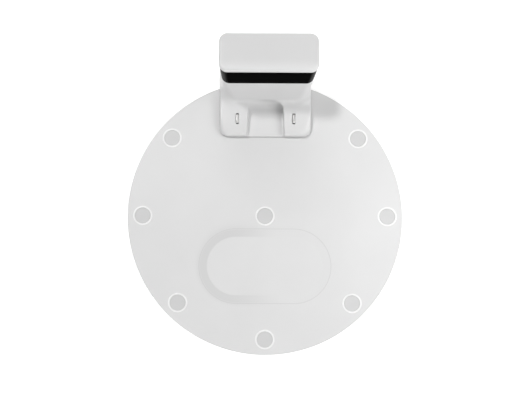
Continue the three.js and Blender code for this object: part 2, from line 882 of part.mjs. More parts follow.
// Contact holder: an open tray that guides the heel and seats the spring.
function makeContactHolder() {
  const halfWidth = contactWidth / 2 + slideGap;
  const halfLength = contactHeelLength / 2 + slideGap;
  const top = contactBottomZ - gap;
  const outer = box(
    [-halfWidth - holderWall, -halfLength - holderWall, innerFloorZ],
    [halfWidth + holderWall, halfLength + holderWall, top],
  );
  const inner = box(
    [-halfWidth, -halfLength, innerFloorZ + holderFloor],
    [halfWidth, halfLength, top + 1],
  );
  return geometryOf(outer.subtract(inner));
}

// The front face of the infrared holder, just behind the neck's wall at the opening's top.
function irHolderFront() {
  const rise = (eyeZ + holderHalfHeight - bandBottomZ) / bandHeight;
  const wallFront = THREE.MathUtils.lerp(bandBottomFront, bandTopFront, rise);
  return wallFront + bandThickness + gap + shellWall + gap;
}

// Infrared holder: a dark bar with three hooded eyes.
function makeIrHolder() {
  const front = irHolderFront();
  const back = front + holderDepth;
  let holder = box(
    [-holderHalfWidth, front, eyeZ - holderHalfHeight],
    [holderHalfWidth, back, eyeZ + holderHalfHeight],
  );
  for (const side of [-1, 0, 1]) {
    const x = side * eyeSpacing;
    holder = holder.subtract(barrel(x, eyeZ, ledRadius + gap, front - 1, back + 1));
    holder = holder.subtract(box(
      [x - eyeHoodHalfWidth, front - 1, eyeZ - eyeHoodHalfHeight],
      [x + eyeHoodHalfWidth, front + eyeHoodDepth, eyeZ + eyeHoodHalfHeight],
    ));
  }
  return geometryOf(holder);
}

// Infrared lamp: a domed cylinder, its dome towards the window.
function makeIrLamp() {
  const length = holderDepth - eyeHoodDepth / 2;
  const steps = 3;
  const pairs = [[0, 0], [ledRadius, 0]];
  for (let step = 0; step < steps; step += 1) {
    const angle = (Math.PI / 2) * (step / steps);
    const height = length - ledRadius + ledRadius * Math.sin(angle);
    pairs.push([ledRadius * Math.cos(angle), height]);
  }
  pairs.push([0, length]);
  return geometryOf(turned(pairs, 12));
}

// Control board: stands behind the holder, with its larger parts on its back.
function makeControlBoard() {
  const front = irHolderFront() + holderDepth + gap;
  const back = front + boardThickness;
  let board = box(
    [-holderHalfWidth, front, eyeZ - holderHalfHeight - 1.5],
    [holderHalfWidth, back, eyeZ + holderHalfHeight + 1.5],
  );
  const parts = [[-20, 6, 5, 1.4], [17, 5, 3, 4.4], [43, 5, 6, 5.4]];
  for (const [x, halfX, halfZ, height] of parts) {
    board = board.add(box(
      [x - halfX, back - boardPartSink, eyeZ - halfZ],
      [x + halfX, back + height, eyeZ + halfZ],
    ));
  }
  return geometryOf(board);
}

// Power board: lies on four posts, with its smaller parts on top.
function makePowerBoard() {
  const top = powerBoardZ + boardThickness;
  const halfWidth = powerBoardWidth / 2;
  let board = box(
    [-powerBoardHalfLength, powerBoardY - halfWidth, powerBoardZ],
    [powerBoardHalfLength, powerBoardY + halfWidth, top],
  );
  const parts = [
    [boardPartX, 5, boardPartHalf, 6, 12],
    [boardPartX, -7, boardPartHalf, 4, 9],
    [inletX - 2, 3 - halfWidth, 6, 2, 5],
  ];
  for (const [x, y, halfX, halfY, height] of parts) {
    board = board.add(box(
      [x - halfX, powerBoardY + y - halfY, top - boardPartSink],
      [x + halfX, powerBoardY + y + halfY, top + height],
    ));
  }
  return geometryOf(board);
}

// Transformer: a ferrite frame round a wound block that reaches down to the board.
function makeTransformer() {
  const halfX = transformerLength / 2;
  const halfY = transformerWidth / 2;
  const limb = transformerLimb;
  const core = box([-halfX, -halfY, 3], [halfX, halfY, transformerHeight]);
  const eye = box(
    [limb - halfX, -halfY - 1, 3 + limb],
    [halfX - limb, halfY + 1, transformerHeight - limb],
  );
  const winding = box(
    [limb - halfX - 0.5, 2 - halfY, 0],
    [halfX - limb + 0.5, halfY - 2, transformerHeight - 3],
  );
  return geometryOf(core.subtract(eye).add(winding));
}

function makeCapacitor() {
  const groove = capacitorGroove;
  return geometryOf(turned([
    [0, 0],
    [capacitorRadius, 0],
    [capacitorRadius, 2],
    [capacitorRadius - groove, 2 + groove],
    [capacitorRadius, 2 + 2 * groove],
    [capacitorRadius, capacitorLength - groove],
    [capacitorRadius - groove, capacitorLength],
    [0, capacitorLength],
  ], 20));
}

// Power inlet: a figure-of-eight socket whose flange sits on the bay's floor.
function makeInlet() {
  const back = bayFloorY + gap + inletFlange;
  let inlet = box(
    [inletX - inletHalfWidth, inletFrontY, inletZ - inletHalfHeight],
    [inletX + inletHalfWidth, back, inletZ + inletHalfHeight],
  );
  const flangeX = inletHalfWidth + inletFlangeWidth;
  const flangeZ = inletHalfHeight + inletFlangeWidth;
  inlet = inlet.add(box(
    [inletX - flangeX, bayFloorY + gap, inletZ - flangeZ],
    [inletX + flangeX, back, inletZ + flangeZ],
  ));
  const lobe = inletPinPitch / 2;
  const floorY = inletFrontY + inletBackWall;
  for (const side of [-1, 1]) {
    const x = inletX + side * lobe;
    inlet = inlet.subtract(barrel(x, inletZ, inletLobeRadius, floorY, back + 1));
    inlet = inlet.subtract(barrel(x, inletZ, inletPinRadius + gap, inletFrontY - 1, back + 1, 12));
  }
  const waist = inletLobeRadius / 2;
  return geometryOf(inlet.subtract(box(
    [inletX - lobe, floorY, inletZ - waist],
    [inletX + lobe, back + 1, inletZ + waist],
  )));
}

function makeInletPin(side) {
  const x = inletX + side * inletPinPitch / 2;
  const front = inletFrontY - inletPinTail;
  return geometryOf(barrel(x, inletZ, inletPinRadius, front, inletFrontY + inletPinLength, 12));
}

// Ballast: a steel bar on each side of the niche.
function makeBallast() {
  const corner = 3;
  const points = outline(
    ballastWidth / 2,
    -ballastLength / 2,
    ballastLength / 2,
    corner,
    corner,
    3,
  );
  return geometryOf(loft([
    { z: innerFloorZ, points },
    { z: innerFloorZ + ballastThickness, points },
  ]));
}

function makeRubberFoot() {
  const chamfer = 0.4;
  const top = baseZ + rubberFootSeat - gap;
  return geometryOf(turned([
    [0, soleZ],
    [rubberFootRadius - chamfer, soleZ],
    [rubberFootRadius, soleZ + chamfer],
    [rubberFootRadius, top],
    [0, top],
  ], 20));
}

// Base screw: a pan head with a cross recess, and a pointed shank.
function makeScrew(length) {
  const chamfer = 0.4;
  const neckZ = baseZ + screwHeadHeight;
  const tipZ = baseTopZ + length;
  const crossArm = 1.5;
  const crossHalf = 0.35;
  const crossDepth = 0.7;
  const screw = turned([
    [0, baseZ],
    [screwHeadRadius - chamfer, baseZ],
    [screwHeadRadius, baseZ + chamfer],
    [screwHeadRadius, neckZ],
    [screwShankRadius, neckZ],
    [screwShankRadius, tipZ - 1],
    [0, tipZ],
  ], 12);
  return geometryOf(screw
    .subtract(box([-crossArm, -crossHalf, baseZ - 1], [crossArm, crossHalf, baseZ + crossDepth]))
    .subtract(box([-crossHalf, -crossArm, baseZ - 1], [crossHalf, crossArm, baseZ + crossDepth])));
}

// Lead from a contact holder, over the ballast, to the power board.
function makeContactLead(side) {
  const runZ = innerFloorZ + ballastThickness + gap + leadRadius + 1;
  const points = [
    new THREE.Vector3(contactX, leadStart, innerFloorZ + 1.2),
    new THREE.Vector3(contactX, leadStart + 0.9, innerFloorZ + 4.6),
    new THREE.Vector3(contactX, ballastFront + 0.5, runZ),
    new THREE.Vector3(contactX + 2, ballastFront + 6, runZ),
    new THREE.Vector3(contactX + 5, ballastY + 6, runZ),
    new THREE.Vector3(contactX + 5, powerBoardY - 3, runZ + 0.6),
    new THREE.Vector3(powerBoardHalfLength + 2, powerBoardY + 1, runZ + 3.6),
  ];
  points.forEach((point) => point.setX(side * point.x));
  return geometryOf(tube(new THREE.CatmullRomCurve3(points), leadRadius, 6, 20));
}

// Lead from an inlet pin down to the power board.
function makeMainsLead(side) {
  const x = inletX + side * inletPinPitch / 2;
  const start = inletFrontY - inletPinTail - gap;
  const points = [
    new THREE.Vector3(x, start, inletZ),
    new THREE.Vector3(x, start - 3, inletZ - 0.6),
    new THREE.Vector3(x, start - 4.6, inletZ - 3),
    new THREE.Vector3(x, start - 4.8, powerPartsZ + 0.6),
  ];
  return geometryOf(tube(new THREE.CatmullRomCurve3(points), leadRadius, 6, 10));
}

// Materials
function material(color, roughness, metalness = 0) {
  return new THREE.MeshStandardMaterial({ color, roughness, metalness });
}

const whiteShell = () => material(0xe6e5e7, 0.42);
const frostedSheet = () => material(0xe4e4e6, 0.5);
const gelPad = () => material(0xd3d3d3, 0.55);
const darkWindow = () => material(0x0b0b0c, 0.12);
const greyBase = () => material(0x8a8a8c, 0.6);
const darkPlastic = () => material(0x1c1c1e, 0.6);
const springSteel = () => material(0xbdbfc2, 0.3, 1);
const contactMetal = () => material(0xd0d0cc, 0.22, 1);
const boardGreen = () => material(0x1f5a38, 0.5);
const ferrite = () => material(0x3a3a3c, 0.7);
const sleeveBlue = () => material(0x23303f, 0.4);
const softRubber = () => material(0x2a2a2c, 0.8);
const zincSteel = () => material(0x7c7e80, 0.55, 0.9);
const leadSheath = () => material(0xb02a24, 0.5);
const clearLamp = () => material(0x9fb4c8, 0.15);

const group = new THREE.Group();

function place(name, geometry, look, x = 0, y = 0, z = 0) {
  const mesh = new THREE.Mesh(geometry, look);
  mesh.name = name;
  mesh.position.set(x, y, z);
  group.add(mesh);
  return mesh;
}

// The mat and its grip pads
place("floor_mat", makeMat(), frostedSheet());
padPlaces().forEach(([x, y], index) => {
  place(`grip_pad_${index + 1}`, makeGripPad(), gelPad(), x, y);
});

// The dock's casing
place("front_shell", makeFrontShell(), whiteShell());
place("rear_shell", makeRearShell(), whiteShell());
place("base_plate", makeBasePlate(), greyBase());
place("top_plate", makeTopPlate(), whiteShell());
place("ir_window", makeWindow(), darkWindow());
place("rear_cover", makeRearCover(), whiteShell());

// Pieces that come in pairs, left and right of the niche or of the inlet
for (const [label, side] of [["left", -1], ["right", 1]]) {
  place(`contact_${label}`, makeContact(), contactMetal(), side * contactX, contactY);
  place(`contact_spring_${label}`, makeContactSpring(), springSteel(), side * contactX, contactY);
  place(`contact_holder_${label}`, makeContactHolder(), darkPlastic(), side * contactX, contactY);
  place(`contact_lead_${label}`, makeContactLead(side), leadSheath());
  place(`ballast_${label}`, makeBallast(), zincSteel(), side * ballastX, ballastY);
  place(`inlet_pin_${label}`, makeInletPin(side), contactMetal());
  place(`mains_lead_${label}`, makeMainsLead(side), leadSheath());
}

// The infrared parts
place("ir_holder", makeIrHolder(), darkPlastic());
place("control_board", makeControlBoard(), boardGreen());
["left", "centre", "right"].forEach((label, index) => {
  const x = (index - 1) * eyeSpacing;
  const y = irHolderFront() + holderDepth;
  const lamp = place(`ir_lamp_${label}`, makeIrLamp(), clearLamp(), x, y, eyeZ);
  lamp.rotation.x = Math.PI / 2;
});

// The power supply
place("power_board", makePowerBoard(), boardGreen());
place("transformer", makeTransformer(), ferrite(), transformerX, powerBoardY, powerPartsZ);
place("bulk_capacitor", makeCapacitor(), sleeveBlue(), capacitorX, capacitorY, powerPartsZ);
place("power_inlet", makeInlet(), darkPlastic());

// Feet and screws
rubberFootPlaces.forEach(([x, y], index) => {
  place(`rubber_foot_${index + 1}`, makeRubberFoot(), softRubber(), x, y);
});
screwPlaces.forEach(([x, y], index) => {
  const length = index < 2 ? frontScrewLength : rearScrewLength;
  place(`base_screw_${index + 1}`, makeScrew(length), zincSteel(), x, y);
});

export default group;
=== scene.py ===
"""Looks of a robot vacuum's charging dock on its round floor mat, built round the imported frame.

Metres, +Z up. The dock stands towards +Y and its foot faces -Y.
"""

import math

import bmesh
import bpy
from mathutils import Matrix, Vector


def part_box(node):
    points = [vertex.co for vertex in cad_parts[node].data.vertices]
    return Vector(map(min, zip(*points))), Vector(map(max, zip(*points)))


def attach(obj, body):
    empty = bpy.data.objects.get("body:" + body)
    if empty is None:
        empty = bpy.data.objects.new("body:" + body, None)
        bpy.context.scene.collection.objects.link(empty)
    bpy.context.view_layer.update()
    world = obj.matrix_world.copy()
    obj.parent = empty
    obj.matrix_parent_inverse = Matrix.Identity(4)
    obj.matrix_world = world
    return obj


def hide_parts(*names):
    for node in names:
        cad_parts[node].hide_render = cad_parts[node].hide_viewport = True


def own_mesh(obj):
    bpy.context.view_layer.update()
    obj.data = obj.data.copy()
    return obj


MM = 0.001

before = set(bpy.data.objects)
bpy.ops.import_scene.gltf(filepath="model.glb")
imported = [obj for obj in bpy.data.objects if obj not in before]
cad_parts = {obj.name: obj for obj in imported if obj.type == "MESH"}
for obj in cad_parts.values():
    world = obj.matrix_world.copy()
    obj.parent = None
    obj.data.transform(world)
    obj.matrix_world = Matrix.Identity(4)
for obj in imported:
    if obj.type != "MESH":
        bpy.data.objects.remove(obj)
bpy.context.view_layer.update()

# ---------------------------------------------------------------- the frame's own places

_, mat_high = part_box("floor_mat")
front_low, front_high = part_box("front_shell")
rear_low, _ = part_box("rear_shell")
window_low, window_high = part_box("ir_window")
plate_low, plate_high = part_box("top_plate")
cover_low, cover_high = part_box("rear_cover")
contact_low, contact_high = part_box("contact_right")
inlet_low, inlet_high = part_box("power_inlet")

GAP = 0.3 * MM
TRAY_FLOOR_LENGTH = 182 * MM
TRAY_FLOOR_WIDTH = 90 * MM
TRAY_BORDER = 15 * MM
TRAY_DEPTH = 1.0 * MM
TRAY_Y = -80 * MM
SHEET_THICKNESS = 1.2 * MM
COLLAR_HEIGHT = 0.4 * MM

mat_radius = mat_high.x
mat_top = mat_high.z - COLLAR_HEIGHT
sheet_bottom = mat_top - SHEET_THICKNESS
dock_front = front_low.y
dock_back = plate_high.y
shell_bottom = front_low.z
shell_top = front_high.z
foot_half = front_high.x
BAND_FLARE = 2.3 * MM
shoulder_half = window_high.x - BAND_FLARE
ledge = window_low.z - GAP
band_bottom_front = window_low.y

# ---------------------------------------------------------------- meshes


def mesh_of(name, build):
    """Ends a bmesh and gives the mesh, with faces pointing out."""
    bmesh.ops.recalc_face_normals(build, faces=build.faces)
    mesh = bpy.data.meshes.new(name)
    build.to_mesh(mesh)
    build.free()
    return mesh


def skin(name, loops, closed=False):
    """Skins loops with the same number of points. Ends are capped, or joined when closed."""
    build = bmesh.new()
    rows = [[build.verts.new(point) for point in loop] for loop in loops]
    pairs = list(zip(rows, rows[1:]))
    if closed:
        pairs.append((rows[-1], rows[0]))
    count = len(rows[0])
    for low, high in pairs:
        for place in range(count):
            after = (place + 1) % count
            build.faces.new((low[place], low[after], high[after], high[place]))
    if not closed:
        build.faces.new(list(reversed(rows[0])))
        build.faces.new(rows[-1])
    return mesh_of(name, build)


def turned(name, profile, centre, sides=96):
    """A body turned about an upright axis from pairs of radius and height. The profile closes."""
    loops = []
    for step in range(sides):
        angle = 2 * math.pi * step / sides
        loops.append([
            (centre[0] + radius * math.cos(angle), centre[1] + radius * math.sin(angle), height)
            for radius, height in profile
        ])
    return skin(name, loops, closed=True)


def block(name, low, high):
    """A cutting block between two corners."""
    xs, ys = (low[0], high[0]), (low[1], high[1])
    corners = [(xs[0], ys[0]), (xs[1], ys[0]), (xs[1], ys[1]), (xs[0], ys[1])]
    return skin(name, [[(x, y, z) for x, y in corners] for z in (low[2], high[2])])


def along_y(name, outline, front, back):
    """An outline in X and Z carried along Y."""
    return skin(name, [[(x, y, z) for x, z in outline] for y in (front, back)])


def placed(mesh):
    """Puts a mesh in the scene as an object of its own name."""
    piece = bpy.data.objects.new(mesh.name, mesh)
    bpy.context.scene.collection.objects.link(piece)
    return piece


def settled(piece):
    """Applies a piece's modifiers to its mesh."""
    graph = bpy.context.evaluated_depsgraph_get()
    graph.update()
    mesh = bpy.data.meshes.new_from_object(piece.evaluated_get(graph))
    mesh.name = piece.name
    piece.modifiers.clear()
    piece.data = mesh
    return piece


def combined(piece, tool_meshes, operation="DIFFERENCE"):
    """Cuts each tool from a piece, or adds it to the piece."""
    tools = [placed(mesh) for mesh in tool_meshes]
    for tool in tools:
        step = piece.modifiers.new("combine", "BOOLEAN")
        step.operation = operation
        step.solver = "EXACT"
        step.object = tool
    settled(piece)
    for tool in tools:
        bpy.data.objects.remove(tool)
    return piece


def softened(piece, voxel, rounds, keep):
    """Gives a cut piece even faces and small round edges, as a moulding has."""
    remesh = piece.modifiers.new("remesh", "REMESH")
    remesh.mode = "VOXEL"
    remesh.voxel_size = voxel
    smooth = piece.modifiers.new("smooth", "SMOOTH")
    smooth.factor = 0.5
    smooth.iterations = rounds
    thin = piece.modifiers.new("thin", "DECIMATE")
    thin.ratio = keep
    return settled(piece)


def bevelled(piece, width, segments=4, angle=35):
    """Rounds a piece's sharp edges."""
    bevel = piece.modifiers.new("bevel", "BEVEL")
    bevel.width = width
    bevel.segments = segments
    bevel.limit_method = "ANGLE"
    bevel.angle_limit = math.radians(angle)
    return settled(piece)


def shaded(piece, angle=40):
    """Smooth shading with creases at sharp edges."""
    piece.data.shade_smooth()
    piece.data.set_sharp_from_angle(angle=math.radians(angle))
    return piece


def finished(piece, body, node, materials, angle=40):
    """Shades a piece, gives it its materials and hangs it on its body in place of a CAD node."""
    shaded(piece, angle)
    if len(piece.data.materials):
        piece.data.materials.clear()
    for material in materials:
        piece.data.materials.append(material)
    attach(piece, body)
    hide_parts(node)
    return piece


def joined(piece, meshes, material_index=0):
    """Adds loose meshes to a piece as bodies of their own in it."""
    build = bmesh.new()
    build.from_mesh(piece.data)
    for mesh in meshes:
        before = len(build.faces)
        build.from_mesh(mesh)
        build.faces.ensure_lookup_table()
        for face in build.faces[before:]:
            face.material_index = material_index
    build.to_mesh(piece.data)
    build.free()
    return piece


def lerp(a, b, t):
    return a + (b - a) * t


def smoothstep(value, low, high):
    t = min(max((value - low) / (high - low), 0.0), 1.0)
    return t * t * (3 - 2 * t)


def bezier(a, b, c, d, steps):
    """Points along a cubic curve, without its first."""
    points = []
    for step in range(1, steps + 1):
        t = step / steps
        u = 1 - t
        points.append(tuple(
            u**3 * a[k] + 3 * u * u * t * b[k] + 3 * u * t * t * c[k] + t**3 * d[k]
            for k in range(2)
        ))
    return points


def arc(centre, radius, start, end, steps):
    """Points along an arc in a plane, angles in degrees."""
    points = []
    for step in range(steps + 1):
        angle = math.radians(lerp(start, end, step / steps))
        points.append((centre[0] + radius * math.cos(angle), centre[1] + radius * math.sin(angle)))
    return points


def outline(half_width, front, back, front_radius, back_radius, steps=14):
    """A rectangle in plan with round corners, counter-clockwise."""
    return (
        arc((half_width - front_radius, front + front_radius), front_radius, -90, 0, steps)
        + arc((half_width - back_radius, back - back_radius), back_radius, 0, 90, steps)
        + arc((back_radius - half_width, back - back_radius), back_radius, 90, 180, steps)
        + arc((front_radius - half_width, front + front_radius), front_radius, 180, 270, steps)
    )


def level(points, z):
    return [(x, y, z) for x, y in points]


# ---------------------------------------------------------------- materials

NOISE_LOW = 0.3  # the span in which nearly all of a noise value lies
NOISE_HIGH = 0.7
TONE_SCALE = 9.0
TONE_DETAIL = 3.0
GLOSS_SCALE = 60.0
GLOSS_DETAIL = 4.0
GRAIN_DETAIL = 3.0
GRAIN_ROUGHNESS = 0.6
TRAY_PAINTED_SHADE_REACH = (-0.06, 0.03)  # along X, where the border's painted shade is full and where it ends
LINE_LEAN_LOW = 1.3  # slopes of the line round the border, over the border's own slope, over which the line's painted shade rises
LINE_LEAN_HIGH = 2.6
LID_PAINTED_LIGHT_SHARE = 0.35  # of the lid's depth, from its front edge, over which its painted light fades out
SMOKE_DRIFT = 1.3  # the window's palest tone in front, over its darkest
CORNER_REFLECTION_TURN = (0.1, 0.7)  # how far the window turns sideways where its painted reflection starts and where it is full


class Nodes:
    """A Principled material under way, with short ways to add and link its nodes."""

    def __init__(self, name, **sockets):
        self.material = bpy.data.materials.new(name)
        self.material.use_nodes = True
        self.tree = self.material.node_tree
        self.shader = self.tree.nodes["Principled BSDF"]
        for socket, value in sockets.items():
            self.shader.inputs[socket.replace("_", " ")].default_value = value
        self.place = self.tree.nodes.new("ShaderNodeTexCoord").outputs["Object"]

    def add(self, kind, **settings):
        node = self.tree.nodes.new(kind)
        for key, value in settings.items():
            setattr(node, key, value)
        return node

    def link(self, source, target):
        self.tree.links.new(source, target)

    def noise(self, scale, detail=2.0, roughness=0.5):
        node = self.add("ShaderNodeTexNoise")
        node.inputs["Scale"].default_value = scale
        node.inputs["Detail"].default_value = detail
        node.inputs["Roughness"].default_value = roughness
        self.link(self.place, node.inputs["Vector"])
        return node.outputs["Fac"]

    def spread(self, factor, low, high):
        """A noise value turned into a number between two others."""
        node = self.add("ShaderNodeMapRange")
        node.inputs["From Min"].default_value = NOISE_LOW
        node.inputs["From Max"].default_value = NOISE_HIGH
        node.inputs["To Min"].default_value = low
        node.inputs["To Max"].default_value = high
        self.link(factor, node.inputs["Value"])
        return node.outputs["Result"]

    def drift(self, factor, first, second):
        """A colour between two others, by a noise value."""
        node = self.add("ShaderNodeValToRGB")
        node.color_ramp.elements[0].position = NOISE_LOW
        node.color_ramp.elements[0].color = (*first, 1)
        node.color_ramp.elements[1].position = NOISE_HIGH
        node.color_ramp.elements[1].color = (*second, 1)
        self.link(factor, node.inputs["Fac"])
        return node.outputs["Color"]

    def blend(self, factor, first, second):
        """A colour that goes from one socket's to another colour as the factor rises."""
        node = self.add("ShaderNodeMixRGB")
        node.inputs["Color2"].default_value = (*second, 1)
        self.link(factor, node.inputs["Fac"])
        self.link(first, node.inputs["Color1"])
        return node.outputs["Color"]

    def part(self, vector, axis):
        node = self.add("ShaderNodeSeparateXYZ")
        self.link(vector, node.inputs["Vector"])
        return node.outputs[axis]

    def normal(self, axis):
        return self.part(self.add("ShaderNodeNewGeometry").outputs["Normal"], axis)

    def rising(self, value, low, high, **settings):
        """Rises from 0 to 1 between two values."""
        node = self.add("ShaderNodeMapRange", **settings)
        node.inputs["From Min"].default_value = low
        node.inputs["From Max"].default_value = high
        self.link(value, node.inputs["Value"])
        return node.outputs["Result"]

    def leaning(self, start, end):
        """Rises from 0 on a face that leans by one angle to 1 on one that leans by another."""
        return self.rising(self.normal("Z"), math.cos(start), math.cos(end))

    def fading(self, axis, full, none):
        """Falls from 1 to 0 between two places along an axis."""
        place = self.part(self.place, axis)
        return self.rising(place, none, full, interpolation_type="SMOOTHSTEP")

    def product(self, first, second):
        node = self.add("ShaderNodeMath", operation="MULTIPLY")
        self.link(first, node.inputs[0])
        self.link(second, node.inputs[1])
        return node.outputs["Value"]

    def sideways(self, low, high):
        """Rises from 0 to 1 as a face turns from the front towards either side."""
        size = self.add("ShaderNodeMath", operation="ABSOLUTE")
        self.link(self.normal("X"), size.inputs[0])
        return self.rising(size.outputs["Value"], low, high, interpolation_type="SMOOTHSTEP")

    def paint(self, colour):
        self.link(colour, self.shader.inputs["Base Color"])

    def colours(self, factor, first, second):
        """The piece's colour drifts between two others."""
        self.paint(self.drift(factor, first, second))

    def mottled(self, light, dark):
        """A colour between two others, by a slow noise."""
        return self.drift(self.noise(TONE_SCALE, TONE_DETAIL), dark, light)

    def rough(self, factor, low, high):
        self.link(self.spread(factor, low, high), self.shader.inputs["Roughness"])

    def bump(self, height, distance, strength=1.0):
        node = self.add("ShaderNodeBump")
        node.inputs["Distance"].default_value = distance
        node.inputs["Strength"].default_value = strength
        self.link(height, node.inputs["Height"])
        self.link(node.outputs["Normal"], self.shader.inputs["Normal"])

    def grained(self, rough_low, rough_high, grain, scale):
        """Slow drifts of gloss under a fine grain whose depth is given in millimetres."""
        self.rough(self.noise(GLOSS_SCALE, GLOSS_DETAIL), rough_low, rough_high)
        self.bump(self.noise(scale, GRAIN_DETAIL, GRAIN_ROUGHNESS), grain * MM)


def grey(value, warmth=0.0):
    """A linear grey, a little warmer or cooler."""
    return (value * (1 + warmth), value, value * (1 - warmth))


def moulded(name, light, dark, rough_low, rough_high, grain=0.012, scale=1500.0, **sockets):
    """Moulded plastic: a fine spark-eroded grain, slow drifts of tone and of gloss."""
    nodes = Nodes(name, **sockets)
    nodes.paint(nodes.mottled(light, dark))
    nodes.grained(rough_low, rough_high, grain, scale)
    return nodes.material


def sheet_with_painted_shade(name, light, dark, pressed, line_painted_shade):
    """Frosted sheet with painted shade: greyer on the tray's border, mostly at its left, and in the
    line round it; pressed is the border's painted shade.
    """
    nodes = Nodes(name)
    sheet = nodes.mottled(light, dark)
    border = math.atan(TRAY_DEPTH / TRAY_BORDER)
    # painted shade on the border's slope: full at its left, fading to none towards the right
    slope = nodes.product(nodes.leaning(0.0, border), nodes.fading("X", *TRAY_PAINTED_SHADE_REACH))
    colour = nodes.blend(slope, sheet, pressed)
    # painted shade in the line round the border, where the faces lean most
    line = nodes.leaning(LINE_LEAN_LOW * border, LINE_LEAN_HIGH * border)
    nodes.paint(nodes.blend(line, colour, line_painted_shade))
    nodes.grained(0.34, 0.44, grain=0.008, scale=900.0)
    return nodes.material


def lid_plastic(name, light, dark, front):
    """The lid's plastic, with painted light: paler along its front edge."""
    nodes = Nodes(name)
    top = nodes.mottled(light, dark)
    # painted light: the lid is paler towards its front edge
    edge = nodes.fading("Y", plate_low.y, lerp(plate_low.y, plate_high.y, LID_PAINTED_LIGHT_SHARE))
    nodes.paint(nodes.blend(edge, top, front))
    nodes.grained(0.30, 0.38, grain=0.006, scale=1500.0)
    return nodes.material


def smoked(name, clear, corner_painted_reflection):
    """Smoked window plastic: nearly black in front, with a painted reflection that makes it paler
    at its corners as they turn sideways.
    """
    nodes = Nodes(name, Specular_IOR_Level=0.012)
    front = nodes.mottled(grey(clear * SMOKE_DRIFT), grey(clear))
    # painted reflection: paler where the band turns sideways at its corners
    nodes.paint(nodes.blend(nodes.sideways(*CORNER_REFLECTION_TURN), front, grey(corner_painted_reflection)))
    nodes.grained(0.06, 0.11, grain=0.001, scale=300.0)
    return nodes.material


def brushed(name, light, dark, rough_low, rough_high, stretch, **sockets):
    """Metal with fine lines along one axis."""
    nodes = Nodes(name, Metallic=1.0, **sockets)
    mapping = nodes.add("ShaderNodeMapping")
    mapping.inputs["Scale"].default_value = stretch
    nodes.link(nodes.place, mapping.inputs["Vector"])
    nodes.place = mapping.outputs["Vector"]
    lines = nodes.noise(1.0, 4.0, 0.6)
    nodes.colours(lines, dark, light)
    nodes.rough(lines, rough_low, rough_high)
    nodes.bump(lines, 0.01 * MM)
    return nodes.material


def laminate(name):
    """Circuit board: green mask over a faint weave, with slightly raised tracks."""
    nodes = Nodes(name, Coat_Weight=0.4, Coat_Roughness=0.15)
    tracks = nodes.add("ShaderNodeTexBrick")
    tracks.inputs["Scale"].default_value = 260.0
    tracks.inputs["Mortar Size"].default_value = 0.03
    nodes.link(nodes.place, tracks.inputs["Vector"])
    nodes.colours(nodes.noise(420.0, 2.0), (0.006, 0.075, 0.028), (0.012, 0.12, 0.045))
    nodes.rough(nodes.noise(200.0), 0.35, 0.5)
    nodes.bump(tracks.outputs["Fac"], 0.03 * MM)
    return nodes.material


# the last grey is the lid's painted light along its front edge
LID = lid_plastic("lid_plastic", grey(0.655), grey(0.635), grey(0.73))
SHELL = moulded("shell_plastic", grey(0.72), grey(0.70), 0.30, 0.38, grain=0.006)
# the last two greys are painted shade, for the tray's border and for the line round it
SHEET = sheet_with_painted_shade("mat_sheet", grey(0.715), grey(0.69), grey(0.625), grey(0.57))
# painted highlight: the bead round each pad is moulded with the greyer sheet, and its near-white
# stands in for the highlight on it
COLLAR = moulded("mat_collar", grey(0.90), grey(0.86), 0.22, 0.30, grain=0.003)
GEL = moulded("gel", grey(0.63), grey(0.59), 0.35, 0.5, grain=0.01, scale=700.0)
WINDOW = smoked("window_plastic", clear=0.0009, corner_painted_reflection=0.07)
BASE = moulded("base_plastic", grey(0.26), grey(0.23), 0.45, 0.6, grain=0.02)
DARK = moulded("dark_plastic", grey(0.012), grey(0.009), 0.45, 0.6, grain=0.01)
RUBBER = moulded("foot_rubber", grey(0.02), grey(0.015), 0.7, 0.85, grain=0.03, scale=900.0)
RED_SHEATH = moulded("red_sheath", (0.42, 0.02, 0.014), (0.36, 0.015, 0.01), 0.35, 0.5)
SLEEVE = moulded("capacitor_sleeve", (0.012, 0.018, 0.035), (0.008, 0.012, 0.025), 0.25, 0.35)
FERRITE = moulded("ferrite", grey(0.045, 0.05), grey(0.03, 0.05), 0.6, 0.8, grain=0.04)
RESIN = moulded("lamp_resin", (0.30, 0.40, 0.52), (0.26, 0.36, 0.48), 0.08, 0.16, grain=0.001)
BOARD = laminate("board_laminate")
CONTACT = brushed(
    "contact_plating", grey(0.92, 0.01), grey(0.84, 0.01), 0.3, 0.45, (5000, 300, 5000)
)
SPRING = brushed("spring_wire", grey(0.55), grey(0.45), 0.25, 0.4, (2000, 2000, 400))
SCREW = brushed("zinc", grey(0.40), grey(0.3), 0.35, 0.55, (3000, 3000, 200))
BALLAST = brushed("mild_steel", grey(0.24), grey(0.17), 0.45, 0.65, (200, 3000, 3000))

# ---------------------------------------------------------------- floor mat

TRAY_EASE = 3 * MM  # length over which the slope's ends turn
LINE_WIDTH = 1.8 * MM
LINE_DEPTH = 0.13 * MM
MAT_POINTS = 384
FLOOR_LOOPS = (0.02, 0.2, 0.4, 0.6, 0.8)  # shares of the way from the middle to the border
BORDER_STEPS = 60
OUTER_LOOPS = (0.1, 0.2, 0.3, 0.4, 0.5, 0.6, 0.7, 0.8, 0.9, 0.996, 1.0)  # out to the edge
EDGE_RADIUS = 0.45 * MM
PAD_RADIUS = 12.3 * MM
PAD_FLANGE = 3.2 * MM
PAD_PROUD = 0.2 * MM
PAD_EDGE = 0.3 * MM
PAD_DISH = 0.12 * MM
PAD_MIDDLE = 0.02 * MM  # radius of the small hole that the turned section leaves
COLLAR_WIDTH = 2.8 * MM


